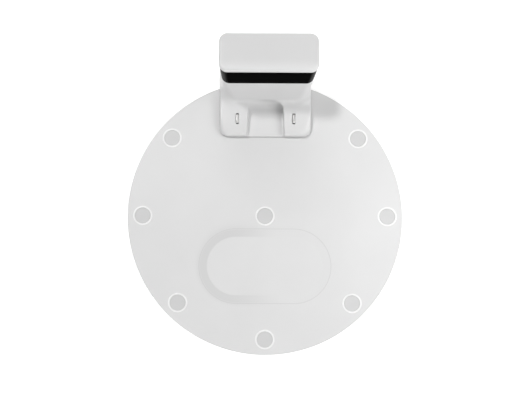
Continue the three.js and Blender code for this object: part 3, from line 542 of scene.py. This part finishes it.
def tray_loop(inset, z):
    """A stadium outline round the tray's floor, grown by an amount, in step with a circle."""
    end = TRAY_FLOOR_WIDTH / 2 + inset
    straight = (TRAY_FLOOR_LENGTH - TRAY_FLOOR_WIDTH) / 2
    quarter = MAT_POINTS // 4
    points = []
    for side, start in ((1, -90), (-1, 90)):
        around = arc((side * straight, TRAY_Y), end, start, start + 180, quarter)
        points += around
        last = around[-1]
        for step in range(1, quarter):
            points.append((last[0] - side * 2 * straight * step / quarter, last[1]))
    return level(points, z)


def tray_drop(distance):
    """How far the sheet is pressed down at a distance out from the tray's floor."""
    line = (distance - TRAY_BORDER + LINE_WIDTH) / LINE_WIDTH
    if 0 < line < 1:
        return tray_slope(distance) + LINE_DEPTH * math.sin(math.pi * line) ** 2
    return tray_slope(distance)


def tray_slope(distance):
    """The same without the fine line round the border."""
    if distance <= 0:
        return TRAY_DEPTH
    if distance >= TRAY_BORDER:
        return 0.0
    ease = TRAY_EASE / TRAY_BORDER
    t = distance / TRAY_BORDER
    slope = 1 / (1 - ease)
    if t < ease:
        fall = slope * t * t / (2 * ease)
    elif t > 1 - ease:
        fall = 1 - slope * (1 - t) ** 2 / (2 * ease)
    else:
        fall = slope * (t - ease / 2)
    return TRAY_DEPTH * (1 - fall)


def straight_out(x, y):
    """Where the mat's edge lies on the way from the tray's middle through a point."""
    way = Vector((x, y - TRAY_Y)).normalized()
    edge = mat_radius - EDGE_RADIUS
    across = way.y * TRAY_Y
    reach = -across + math.sqrt(across**2 + edge**2 - TRAY_Y**2)
    return way.x * reach, TRAY_Y + way.y * reach


def mat_face(surface):
    """The loops of one face of the sheet, from the tray's middle out to the mat's edge."""
    loops = []
    for share in FLOOR_LOOPS:
        loop = tray_loop(0, surface - TRAY_DEPTH)
        loops.append([(x * share, TRAY_Y + (y - TRAY_Y) * share, z) for x, y, z in loop])
    for step in range(BORDER_STEPS + 1):
        out = TRAY_BORDER * step / BORDER_STEPS
        loops.append(tray_loop(out, surface - tray_drop(out)))
    outer = loops[-1]
    for t in OUTER_LOOPS:
        loop = []
        for x, y, z in outer:
            edge_x, edge_y = straight_out(x, y)
            loop.append((lerp(x, edge_x, t), lerp(y, edge_y, t), z))
        loops.append(loop)
    return loops


def mat_rim():
    """The sheet's rounded edge, from its upper face to its lower one."""
    middle = (mat_top + sheet_bottom) / 2
    half = SHEET_THICKNESS / 2
    inner = mat_radius - EDGE_RADIUS
    last = mat_face(mat_top)[-1]
    loops = []
    steps = 8
    for step in range(1, steps):
        angle = math.pi / 2 - math.pi * step / steps
        radius = inner + EDGE_RADIUS * math.cos(angle)
        loops.append([
            (x / inner * radius, y / inner * radius, middle + half * math.sin(angle))
            for x, y, z in last
        ])
    return loops


def pad_places():
    """Name and middle of each grip pad, from its CAD box."""
    places = []
    for name in sorted(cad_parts):
        if name.startswith("grip_pad_"):
            low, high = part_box(name)
            places.append((name, ((low.x + high.x) / 2, (low.y + high.y) / 2)))
    return places


def collar_profile():
    """Section of the moulded collar round a pad: a low round bead on the sheet."""
    inner = PAD_RADIUS + GAP
    outer = inner + COLLAR_WIDTH
    half = COLLAR_WIDTH / 2
    middle = (inner + outer) / 2
    points = [(inner, sheet_bottom), (inner, mat_top)]
    for step in range(1, 12):
        angle = math.pi - math.pi * step / 12
        points.append((
            middle + half * math.cos(angle),
            mat_top + COLLAR_HEIGHT * math.sin(angle) ** 0.7,
        ))
    points += [(outer, mat_top), (outer, mat_top - SHEET_THICKNESS / 2)]
    points.append((middle, sheet_bottom))
    return points


def make_mat():
    loops = mat_face(mat_top) + mat_rim() + list(reversed(mat_face(sheet_bottom)))
    piece = placed(skin("mat_sheet", loops))
    hole = PAD_RADIUS + GAP + COLLAR_WIDTH / 2
    drills = []
    collars = []
    for name, (x, y) in pad_places():
        circle = arc((x, y), hole, 0, 360, 96)[:-1]
        drills.append(skin(name, [level(circle, z) for z in (sheet_bottom - MM, mat_top + MM)]))
        collars.append(turned(name, collar_profile(), (x, y)))
    combined(piece, drills)
    piece.data.materials.clear()
    joined(piece, collars, material_index=1)
    return finished(piece, "mat", "floor_mat", [SHEET, COLLAR], angle=30)


def pad_profile():
    """Section of a pad: a wide foot that grips the floor, and a plug with a dished top."""
    top = mat_top + PAD_PROUD
    flange_top = sheet_bottom - GAP
    foot = PAD_RADIUS + PAD_FLANGE
    points = [(PAD_MIDDLE, 0.0), (foot - PAD_EDGE, 0.0), (foot, PAD_EDGE)]
    points += [(foot, flange_top - PAD_EDGE), (foot - PAD_EDGE, flange_top)]
    points += [(PAD_RADIUS, flange_top), (PAD_RADIUS, top - PAD_EDGE)]
    points += arc((PAD_RADIUS - PAD_EDGE, top - PAD_EDGE), PAD_EDGE, 15, 90, 5)
    points += [
        (lerp(PAD_RADIUS - PAD_EDGE, PAD_MIDDLE, t), top - PAD_DISH * smoothstep(t, 0.0, 0.22))
        for t in (0.05, 0.1, 0.15, 0.2, 0.3, 0.6, 1.0)
    ]
    return points


def make_pads():
    for name, place in pad_places():
        piece = placed(turned(name + "_gel", pad_profile(), place))
        finished(piece, "mat", name, [GEL], angle=50)


# ---------------------------------------------------------------- dock shells

FOOT_LENGTH = 56 * MM
FOOT_CORNER = 13.5 * MM
COVE_CORNER = 26 * MM
SHOULDER_CORNER = 12.3 * MM
SQUARE_CORNER = 0.5 * MM
LIP_HEIGHT = 4.8 * MM
PAD_SURFACE_HEIGHT = 13.1 * MM
WALL_FOOT_HEIGHT = 29 * MM
LIP_CURVE = 18 * MM
LIP_CURVE_DIP = 0.6 * MM
COVE_LENGTH = 22 * MM
COVE_RISE = 1.2 * MM
COVE_TURN_INSET = 4 * MM
COVE_TURN_RISE = 1.6 * MM
NECK_STEP = 0.01 * MM  # between the ledge and the neck that rises from it
SHELL_WALL = 2 * MM
ROOF_WALL = 1.8 * MM
BAND_THICKNESS = 2.5 * MM
BAND_LEAN = 6.8 * MM
NICHE_HALF = 30.5 * MM
NICHE_DEPTH = 3 * MM
NICHE_TURN = 16 * MM  # radius at which the channel's floor turns up into the niche's back
NICHE_FLOOR = 1.8 * MM
NICHE_WALL = 1.8 * MM
NICHE_CORNER = 4 * MM  # along the foot of both sides of the channel
NICHE_SPRING = 9 * MM
NICHE_APEX = 24 * MM
SLIDE_GAP = 0.4 * MM
CONTACT_CATCH = 1.1 * MM  # how far a contact's heel reaches under each end of its slot
OVER = 5 * MM
FINE_VOXEL = 0.55 * MM

lip_z = mat_top + LIP_HEIGHT
pad_surface_z = mat_top + PAD_SURFACE_HEIGHT
wall_foot_z = mat_top + WALL_FOOT_HEIGHT
pad_surface_y = dock_front + LIP_CURVE
wall_foot_y = dock_front + FOOT_LENGTH
niche_back = wall_foot_y + NICHE_DEPTH


def front_line():
    """The dock's front in side view, from under the lip to the window: pairs of Y and Z."""
    lip = (dock_front, lip_z)
    pad = (pad_surface_y, pad_surface_z)
    wall = (wall_foot_y, wall_foot_z)
    line = [(dock_front, shell_bottom), lip]
    line += bezier(
        lip,
        (dock_front, pad_surface_z - LIP_HEIGHT / 2),
        (pad_surface_y - LIP_CURVE / 2, pad_surface_z - LIP_CURVE_DIP),
        pad,
        28,
    )
    line += bezier(
        pad,
        (pad_surface_y + COVE_LENGTH, pad_surface_z + COVE_RISE),
        (wall_foot_y - COVE_TURN_INSET, pad_surface_z + COVE_TURN_RISE),
        wall,
        40,
    )
    line += [
        (lerp(wall[0], band_bottom_front, t), lerp(wall[1], ledge, t))
        for t in (0.2, 0.4, 0.6, 0.8, 1.0)
    ]
    return line


def width_at(z):
    rise = min(max((z - shell_bottom) / (ledge - shell_bottom), 0.0), 1.0)
    return lerp(foot_half, shoulder_half, math.sqrt(rise))


def corner_at(z):
    middle = (lip_z + wall_foot_z) / 2
    low = lerp(FOOT_CORNER, COVE_CORNER, smoothstep(z, lip_z, middle))
    return lerp(low, SHOULDER_CORNER, smoothstep(z, middle, ledge))


def front_levels(inset, drop, back):
    """Levels of the front half below the window, or of its cavity when inset and dropped."""
    loops = []
    for y, z in front_line():
        corner = max(corner_at(z) - inset, MM)
        around = outline(width_at(z) - inset, y + inset, back, corner, SQUARE_CORNER)
        loops.append(level(around, z - drop))
    return loops


def neck_level(z, inset, back):
    """A level of the neck behind the window."""
    rise = (z - window_low.z) / (plate_low.z - window_low.z)
    half = lerp(shoulder_half, window_high.x, rise) - inset
    front = lerp(band_bottom_front, band_bottom_front + BAND_LEAN, rise) + inset
    return level(outline(half, front, back, SHOULDER_CORNER - inset, SQUARE_CORNER), z)


def niche_space(name, grow, floor_z):
    """The arched space that the robot's front wheel rolls into."""
    spring = mat_top + NICHE_SPRING
    rise = mat_top + NICHE_APEX + grow - spring
    half = NICHE_HALF + grow
    rounding = NICHE_CORNER + grow
    points = arc((half - rounding, floor_z + rounding), rounding, -90, 0, 12)
    steps = 48
    for step in range(steps + 1):
        angle = math.pi * step / steps
        points.append((half * math.cos(angle), spring + rise * math.sin(angle)))
    points += arc((rounding - half, floor_z + rounding), rounding, 180, 270, 12)
    space = placed(along_y(name, points, dock_front - OVER, niche_back + grow))
    centre = (niche_back - NICHE_TURN, shell_bottom + NICHE_FLOOR + NICHE_TURN)
    radius = NICHE_TURN + grow
    reach = niche_back + grow + OVER
    bottom = floor_z - OVER
    corner = [(centre[0], bottom), (reach, bottom), (reach, centre[1])]
    corner += list(reversed(arc(centre, radius, -90, 0, 48)))
    wide = half + OVER
    bend = skin("bend", [[(x, y, z) for y, z in corner] for x in (-wide, wide)])
    combined(space, [bend])
    mesh = space.data
    bpy.data.objects.remove(space)
    return mesh


def contact_slots():
    """The slots in the foot that the two contacts move in."""
    half_x = (contact_high.x - contact_low.x) / 2 + SLIDE_GAP
    slots = []
    for side in ("left", "right"):
        low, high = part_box("contact_" + side)
        x = (low.x + high.x) / 2
        slots.append(block(
            "slot_" + side,
            (x - half_x, low.y + CONTACT_CATCH, shell_bottom),
            (x + half_x, high.y - CONTACT_CATCH, high.z + OVER),
        ))
    return slots


def make_front_shell():
    back = front_high.y
    neck_inset = BAND_THICKNESS + GAP
    outer = front_levels(0, 0, back)
    for z in (ledge + NECK_STEP, shell_top):
        outer.append(neck_level(z, neck_inset, back))
    cavity = front_levels(SHELL_WALL, ROOF_WALL, back + OVER)
    cavity[0] = [(x, y, shell_bottom - MM) for x, y, z in cavity[0]]
    inner = neck_inset + SHELL_WALL
    for z in (ledge, shell_top + MM):
        cavity.append(neck_level(z, inner, back + OVER))
    hollow = combined(
        placed(skin("hollow", cavity)), [niche_space("lining", NICHE_WALL, shell_bottom - OVER)]
    )
    piece = placed(skin("front_shell_skin", outer))
    combined(piece, [hollow.data])
    bpy.data.objects.remove(hollow)
    combined(piece, [niche_space("niche", 0, shell_bottom + NICHE_FLOOR)] + contact_slots())
    softened(piece, FINE_VOXEL, rounds=6, keep=0.5)
    return finished(piece, "dock", "front_shell", [SHELL], angle=60)


# ---------------------------------------------------------------- rear shell and its cover

BAY_HALF = 50 * MM
BAY_LOW = 10 * MM
BAY_HIGH = 22 * MM
BAY_DEPTH = 15 * MM
COVER_REBATE = 3 * MM
CORD_SLOT_HALF = 5 * MM
CORD_SLOT_DEPTH = 11 * MM
SPOOL_HALF = 16 * MM
SPOOL_RISE = 9 * MM
SPOOL_WALL = 5 * MM
SPOOL_FINGER = 6 * MM
SPOOL_FINGER_THICKNESS = 1.6 * MM
SPOOL_LIFT = 4 * MM
COVER_THICKNESS = 2.4 * MM
NOTCH_RADIUS = 12 * MM
CLIP_LENGTH = 6 * MM
CLIP_THICKNESS = 2 * MM
CLIP_HEIGHT = 10 * MM
CORD_SLOT_HEIGHT = 7 * MM
COVER_CORNER = 1.2 * MM
COVER_EDGE = 0.35 * MM
INLET_HALF_WIDTH = 10 * MM
INLET_HALF_HEIGHT = 6.5 * MM

bay_low = mat_top + BAY_LOW
bay_high = plate_high.z - BAY_HIGH
bay_floor = dock_back - BAY_DEPTH
spool_z = (bay_low + bay_high) / 2 + SPOOL_LIFT


def rear_level(z, inset, front, half):
    corner = SHOULDER_CORNER - inset
    return level(outline(half - inset, front, dock_back - inset, SQUARE_CORNER, corner), z)


def rear_levels(inset, front, low, high):
    """Levels of the rear half, flaring a little from the shoulder to the lid."""
    loops = []
    steps = 24
    for step in range(steps + 1):
        z = lerp(shell_bottom, ledge, step / steps)
        loops.append(rear_level(z, inset, front, width_at(z)))
    loops[0] = [(x, y, low) for x, y, z in loops[0]]
    loops.append(rear_level(high, inset, front, window_high.x))
    return loops


def bay_block(name, grow):
    return block(
        name,
        (-BAY_HALF - grow, bay_floor - grow, bay_low - grow),
        (BAY_HALF + grow, dock_back + OVER, bay_high + grow),
    )


def rebate_block(name, grow):
    half = BAY_HALF + COVER_REBATE + grow
    return block(
        name,
        (-half, dock_back - COVER_THICKNESS - GAP - grow, bay_low - COVER_REBATE - grow),
        (half, dock_back + OVER, bay_high + COVER_REBATE + grow),
    )


def spool_parts():
    """The oval post that the lead winds on, with the bar across its end."""
    reach = dock_back - COVER_THICKNESS - GAP - SLIDE_GAP - MM
    steps = 64
    oval = []
    for step in range(steps):
        angle = 2 * math.pi * step / steps
        oval.append((SPOOL_HALF * math.cos(angle), spool_z + SPOOL_RISE * math.sin(angle)))
    core = along_y("spool", oval, bay_floor - MM, reach)
    half = SPOOL_HALF + SPOOL_FINGER
    bar = block(
        "bar",
        (-half, reach - SPOOL_FINGER_THICKNESS, spool_z - SPOOL_RISE / 2),
        (half, reach, spool_z + SPOOL_RISE / 2),
    )
    hollow = block(
        "hollow",
        (SPOOL_WALL - SPOOL_HALF, bay_floor + MM, spool_z - SPOOL_RISE + SPOOL_WALL),
        (SPOOL_HALF - SPOOL_WALL, reach + MM, spool_z + SPOOL_RISE - SPOOL_WALL),
    )
    return core, bar, hollow


def inlet_hole():
    x = (inlet_low.x + inlet_high.x) / 2
    z = (inlet_low.z + inlet_high.z) / 2
    half_x = INLET_HALF_WIDTH + GAP
    half_z = INLET_HALF_HEIGHT + GAP
    return block(
        "inlet_hole",
        (x - half_x, bay_floor - SHELL_WALL - MM, z - half_z),
        (x + half_x, bay_floor + MM, z + half_z),
    )


def cord_way_out():
    return block(
        "way_out",
        (-CORD_SLOT_HALF, dock_back - CORD_SLOT_DEPTH, shell_bottom - MM),
        (CORD_SLOT_HALF, dock_back + OVER, bay_low + MM),
    )


def make_rear_shell():
    front = rear_low.y
    cavity = placed(skin(
        "rear_cavity", rear_levels(SHELL_WALL, front - OVER, shell_bottom - MM, shell_top + MM)
    ))
    combined(cavity, [bay_block("bay_lining", SHELL_WALL), rebate_block("lip_lining", SHELL_WALL)])
    piece = placed(skin("rear_shell_skin", rear_levels(0, front, shell_bottom, shell_top)))
    combined(piece, [cavity.data, bay_block("bay", 0), rebate_block("lip", 0)])
    bpy.data.objects.remove(cavity)
    core, bar, hollow = spool_parts()
    combined(piece, [core, bar], operation="UNION")
    combined(piece, [hollow, inlet_hole(), cord_way_out()])
    softened(piece, FINE_VOXEL, rounds=6, keep=0.4)
    return finished(piece, "dock", "rear_shell", [SHELL], angle=60)


def cover_outline():
    """The cover in X and Z: a panel with a finger notch above and a slot for the lead below."""
    low, high = cover_low, cover_high
    corner = COVER_CORNER
    notch = arc((0, high.z), NOTCH_RADIUS, 0, -180, 32)
    points = [(-CORD_SLOT_HALF, low.z), (-CORD_SLOT_HALF, low.z + CORD_SLOT_HEIGHT)]
    points += [(CORD_SLOT_HALF, low.z + CORD_SLOT_HEIGHT), (CORD_SLOT_HALF, low.z)]
    points += arc((high.x - corner, low.z + corner), corner, -90, 0, 6)
    points += arc((high.x - corner, high.z - corner), corner, 0, 90, 6)
    points += notch
    points += arc((low.x + corner, high.z - corner), corner, 90, 180, 6)
    points += arc((low.x + corner, low.z + corner), corner, 180, 270, 6)
    return points


def make_cover():
    front = cover_high.y - COVER_THICKNESS
    piece = placed(along_y("cover_panel", cover_outline(), front, cover_high.y))
    clips = []
    for side in (-1, 1):
        outer = side * (BAY_HALF - SLIDE_GAP)
        inner = side * (BAY_HALF - SLIDE_GAP - CLIP_THICKNESS)
        clips.append(block(
            "clip",
            (min(outer, inner), front - CLIP_LENGTH, cover_low.z + 2 * CLIP_HEIGHT),
            (max(outer, inner), front + MM, cover_low.z + 3 * CLIP_HEIGHT),
        ))
    combined(piece, clips, operation="UNION")
    bevelled(piece, COVER_EDGE)
    return finished(piece, "cover", "rear_cover", [SHELL])


# ---------------------------------------------------------------- lid and window

LID_EDGE = 4 * MM
LID_UNDER_EDGE = 0.6 * MM
LID_CORNER = SHOULDER_CORNER
LID_RECESS = 1.2 * MM
LID_RECESS_MARGIN = 7.8 * MM
LID_RECESS_INNER = 8 * MM
LID_RECESS_EDGE = 0.4 * MM
WINDOW_EDGE = 0.35 * MM
LID_CROWN = 0.25 * MM  # the middle of the lid stands this much above its edge's top


def lid_level(z, inset, steps=20):
    corner = max(LID_CORNER - inset, MM)
    return level(outline(
        plate_high.x - inset, plate_low.y + inset, plate_high.y - inset, corner, corner, steps
    ), z)


def make_lid():
    loops = []
    recess = plate_low.z + LID_RECESS
    for inset, z in (
        (LID_RECESS_MARGIN + LID_RECESS_INNER, recess),
        (LID_RECESS_MARGIN + LID_RECESS_EDGE, recess),
        (LID_RECESS_MARGIN, recess - LID_RECESS_EDGE),
        (LID_RECESS_MARGIN, plate_low.z),
    ):
        loops.append(lid_level(z, inset))
    for step in range(7):
        angle = math.pi / 2 * step / 6
        loops.append(lid_level(
            plate_low.z + LID_UNDER_EDGE * (1 - math.cos(angle)),
            LID_UNDER_EDGE * (1 - math.sin(angle)),
        ))
    rim_top = plate_high.z - LID_CROWN
    for step in range(17):
        angle = math.pi / 2 * step / 16
        loops.append(lid_level(
            rim_top - LID_EDGE * (1 - math.sin(angle)), LID_EDGE * (1 - math.cos(angle))
        ))
    depth = (plate_high.y - plate_low.y) / 2 - MM
    for step in range(1, 13):
        t = step / 12
        inset = lerp(LID_EDGE, depth, t)
        loops.append(lid_level(rim_top + LID_CROWN * (1 - (1 - t) ** 2), inset))
    piece = placed(skin("lid", loops))
    return finished(piece, "dock", "top_plate", [LID], angle=50)


def band_level(z, inset):
    """One level of the dark band, as a strip round the neck: outside first, then inside."""
    back = window_high.y
    rise = (z - window_low.z) / (plate_low.z - window_low.z)
    front = lerp(band_bottom_front, band_bottom_front + BAND_LEAN, rise)
    half = lerp(shoulder_half, window_high.x, rise)

    def strip(depth, steps=18):
        corner = SHOULDER_CORNER - depth
        x = half - depth
        y = front + depth
        points = [(-x, back)]
        points += arc((corner - x, y + corner), corner, 180, 270, steps)
        points += arc((x - corner, y + corner), corner, -90, 0, steps)
        points.append((x, back))
        return points

    return level(strip(inset) + list(reversed(strip(BAND_THICKNESS - inset))), z)


def make_window():
    loops = []
    for step in range(5):
        angle = math.pi / 2 * step / 4
        loops.append(band_level(
            window_low.z + WINDOW_EDGE * (1 - math.cos(angle)), WINDOW_EDGE * (1 - math.sin(angle))
        ))
    for share in (0.25, 0.5, 0.75):
        loops.append(band_level(lerp(window_low.z, window_high.z, share), 0))
    for step in range(5):
        angle = math.pi / 2 * step / 4
        loops.append(band_level(
            window_high.z - WINDOW_EDGE * (1 - math.sin(angle)), WINDOW_EDGE * (1 - math.cos(angle))
        ))
    piece = placed(skin("window_band", loops))
    return finished(piece, "dock", "ir_window", [WINDOW], angle=50)


# ---------------------------------------------------------------- contacts and their springs

HEEL = 1.4 * MM
HEEL_REACH = 2.6 * MM
HEEL_TONE_EDGE = 0.05 * MM  # the heel's dark plastic ends this much above its top
NOSE = 2.4 * MM
NOSE_STRETCH = 1.6
SKID_EDGE = 0.4 * MM
SPRING_RADIUS = 1.5 * MM
SPRING_WIRE = 0.25 * MM
SPRING_TURNS = 3


def skid_line(low, high):
    """A contact in side view: heels at both ends, and a skid with round noses."""
    heel_top = low.z + HEEL
    front = low.y + HEEL_REACH
    back = high.y - HEEL_REACH
    crown = NOSE * NOSE_STRETCH
    points = [(low.y, low.z), (high.y, low.z), (high.y, heel_top), (back, heel_top)]
    points.append((back, high.z - NOSE))
    points += bezier(
        (back, high.z - NOSE), (back, high.z - NOSE / 3), (back - crown / 3, high.z),
        (back - crown, high.z), 10
    )
    points += list(reversed(bezier(
        (front, high.z - NOSE), (front, high.z - NOSE / 3), (front + crown / 3, high.z),
        (front + crown, high.z), 10
    )))
    points += [(front, high.z - NOSE), (front, heel_top), (low.y, heel_top)]
    return points


def make_contact(side):
    low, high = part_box("contact_" + side)
    line = skid_line(low, high)
    piece = placed(skin("skid_" + side, [[(x, y, z) for y, z in line] for x in (low.x, high.x)]))
    bevelled(piece, SKID_EDGE, segments=5, angle=50)
    for face in piece.data.polygons:
        if face.center.z < low.z + HEEL + HEEL_TONE_EDGE:
            face.material_index = 1
    body = side + "_contact"
    return finished(piece, body, "contact_" + side, [CONTACT, DARK])


def make_spring(side):
    """The coil under a contact, built at one length."""
    low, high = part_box("contact_spring_" + side)
    centre = (low + high) / 2
    steps = SPRING_TURNS * 36
    sides = 12
    loops = []
    for step in range(steps + 1):
        t = step / steps
        angle = 2 * math.pi * SPRING_TURNS * t
        out = Vector((math.cos(angle), math.sin(angle), 0))
        middle = Vector((centre.x, centre.y, lerp(low.z + SPRING_WIRE, high.z - SPRING_WIRE, t)))
        middle += out * SPRING_RADIUS
        loops.append([
            middle
            + out * (SPRING_WIRE * math.cos(2 * math.pi * k / sides))
            + Vector((0, 0, SPRING_WIRE * math.sin(2 * math.pi * k / sides)))
            for k in range(sides)
        ])
    piece = placed(skin("coil_" + side, loops))
    finished(piece, "dock", "contact_spring_" + side, [SPRING])
    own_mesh(piece)


# ---------------------------------------------------------------- CAD nodes that stay

KEPT = {
    "base_plate": BASE,
    "ballast": BALLAST,
    "inlet_pin": CONTACT,
    "mains_lead": DARK,
    "contact_holder": DARK,
    "contact_lead": RED_SHEATH,
    "ir_holder": DARK,
    "control_board": BOARD,
    "ir_lamp": RESIN,
    "power_board": BOARD,
    "transformer": FERRITE,
    "bulk_capacitor": SLEEVE,
    "power_inlet": DARK,
    "rubber_foot": RUBBER,
    "base_screw": SCREW,
}


def dress_kept_nodes():
    """Gives each CAD node that stays its material, over every slot that it has."""
    for name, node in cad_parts.items():
        if node.hide_render:
            continue
        for start, material in KEPT.items():
            if name.startswith(start):
                node.data.materials.clear()
                node.data.materials.append(material)


# ---------------------------------------------------------------- stage, light and camera

FLOOR_SIZE = 12.0
FLOOR_THICKNESS = 0.02
FLOOR_GLOW = 0.3
WORLD_STRENGTH = 0.12
CAMERA_PLACE = (-0.0468, -0.0662, 0.800)
CAMERA_TILT = 3.0
CAMERA_ROLL = 0.29
CAMERA_LENS = 33.88
CAMERA_SHIFT = (0.0553, 0.0587)


def make_floor():
    """A plain pale studio floor that glows a little, so that it stays even."""
    far = FLOOR_SIZE
    floor = placed(block("studio_floor", (-far, -far, -FLOOR_THICKNESS), (far, far, 0)))
    nodes = Nodes("floor_paper", Roughness=0.9)
    nodes.colours(nodes.noise(3.0), grey(0.90), grey(0.92))
    nodes.shader.inputs["Emission Color"].default_value = (1, 1, 1, 1)
    nodes.shader.inputs["Emission Strength"].default_value = FLOOR_GLOW
    nodes.shader.inputs["Specular IOR Level"].default_value = 0.0
    floor.data.materials.append(nodes.material)


def area_light(name, place, aim, size, power):
    data = bpy.data.lights.new(name, "AREA")
    data.shape = "DISK"
    data.size = size
    data.energy = power
    light = bpy.data.objects.new(name, data)
    light.location = place
    light.rotation_mode = "QUATERNION"
    light.rotation_quaternion = (Vector(aim) - Vector(place)).to_track_quat("-Z", "Y")
    bpy.context.scene.collection.objects.link(light)


def sun_light(name, towards, angle, strength):
    """A broad even light that shines along a direction."""
    data = bpy.data.lights.new(name, "SUN")
    data.angle = math.radians(angle)
    data.energy = strength
    light = bpy.data.objects.new(name, data)
    light.rotation_mode = "QUATERNION"
    light.rotation_quaternion = Vector(towards).to_track_quat("-Z", "Y")
    bpy.context.scene.collection.objects.link(light)


def make_lights():
    world = bpy.data.worlds.new("studio")
    world.use_nodes = True
    background = world.node_tree.nodes["Background"]
    background.inputs["Color"].default_value = (1, 1, 1, 1)
    background.inputs["Strength"].default_value = WORLD_STRENGTH
    bpy.context.scene.world = world
    bpy.context.scene.view_settings.view_transform = "Standard"
    sun_light("key", towards=(0.52, -0.42, -1.0), angle=9, strength=1.4)
    sun_light("front", towards=(0.0, 1.0, -0.27), angle=50, strength=1.24)
    sun_light("back", towards=(0.1, -1.0, -0.55), angle=40, strength=0.77)
    sun_light("right", towards=(-0.8, -0.1, -0.7), angle=40, strength=0.46)
    sun_light("top", towards=(0.0, 0.25, -1.0), angle=60, strength=0.28)
    area_light("fill", place=(0.75, 0.05, 0.7), aim=(0.15, 0.0, 0.0), size=0.7, power=3.3)


def make_camera():
    data = bpy.data.cameras.new("camera")
    data.lens = CAMERA_LENS
    data.sensor_width = 36.0
    data.shift_x, data.shift_y = CAMERA_SHIFT
    camera = bpy.data.objects.new("camera", data)
    camera.matrix_world = (
        Matrix.Translation(CAMERA_PLACE)
        @ Matrix.Rotation(math.radians(CAMERA_TILT), 4, "X")
        @ Matrix.Rotation(math.radians(CAMERA_ROLL), 4, "Z")
    )
    bpy.context.scene.collection.objects.link(camera)
    bpy.context.scene.camera = camera


make_camera()
make_lights()
make_floor()
make_mat()
make_pads()
make_front_shell()
make_rear_shell()
make_cover()
make_lid()
make_window()
for side in ("left", "right"):
    make_contact(side)
    make_spring(side)
dress_kept_nodes()
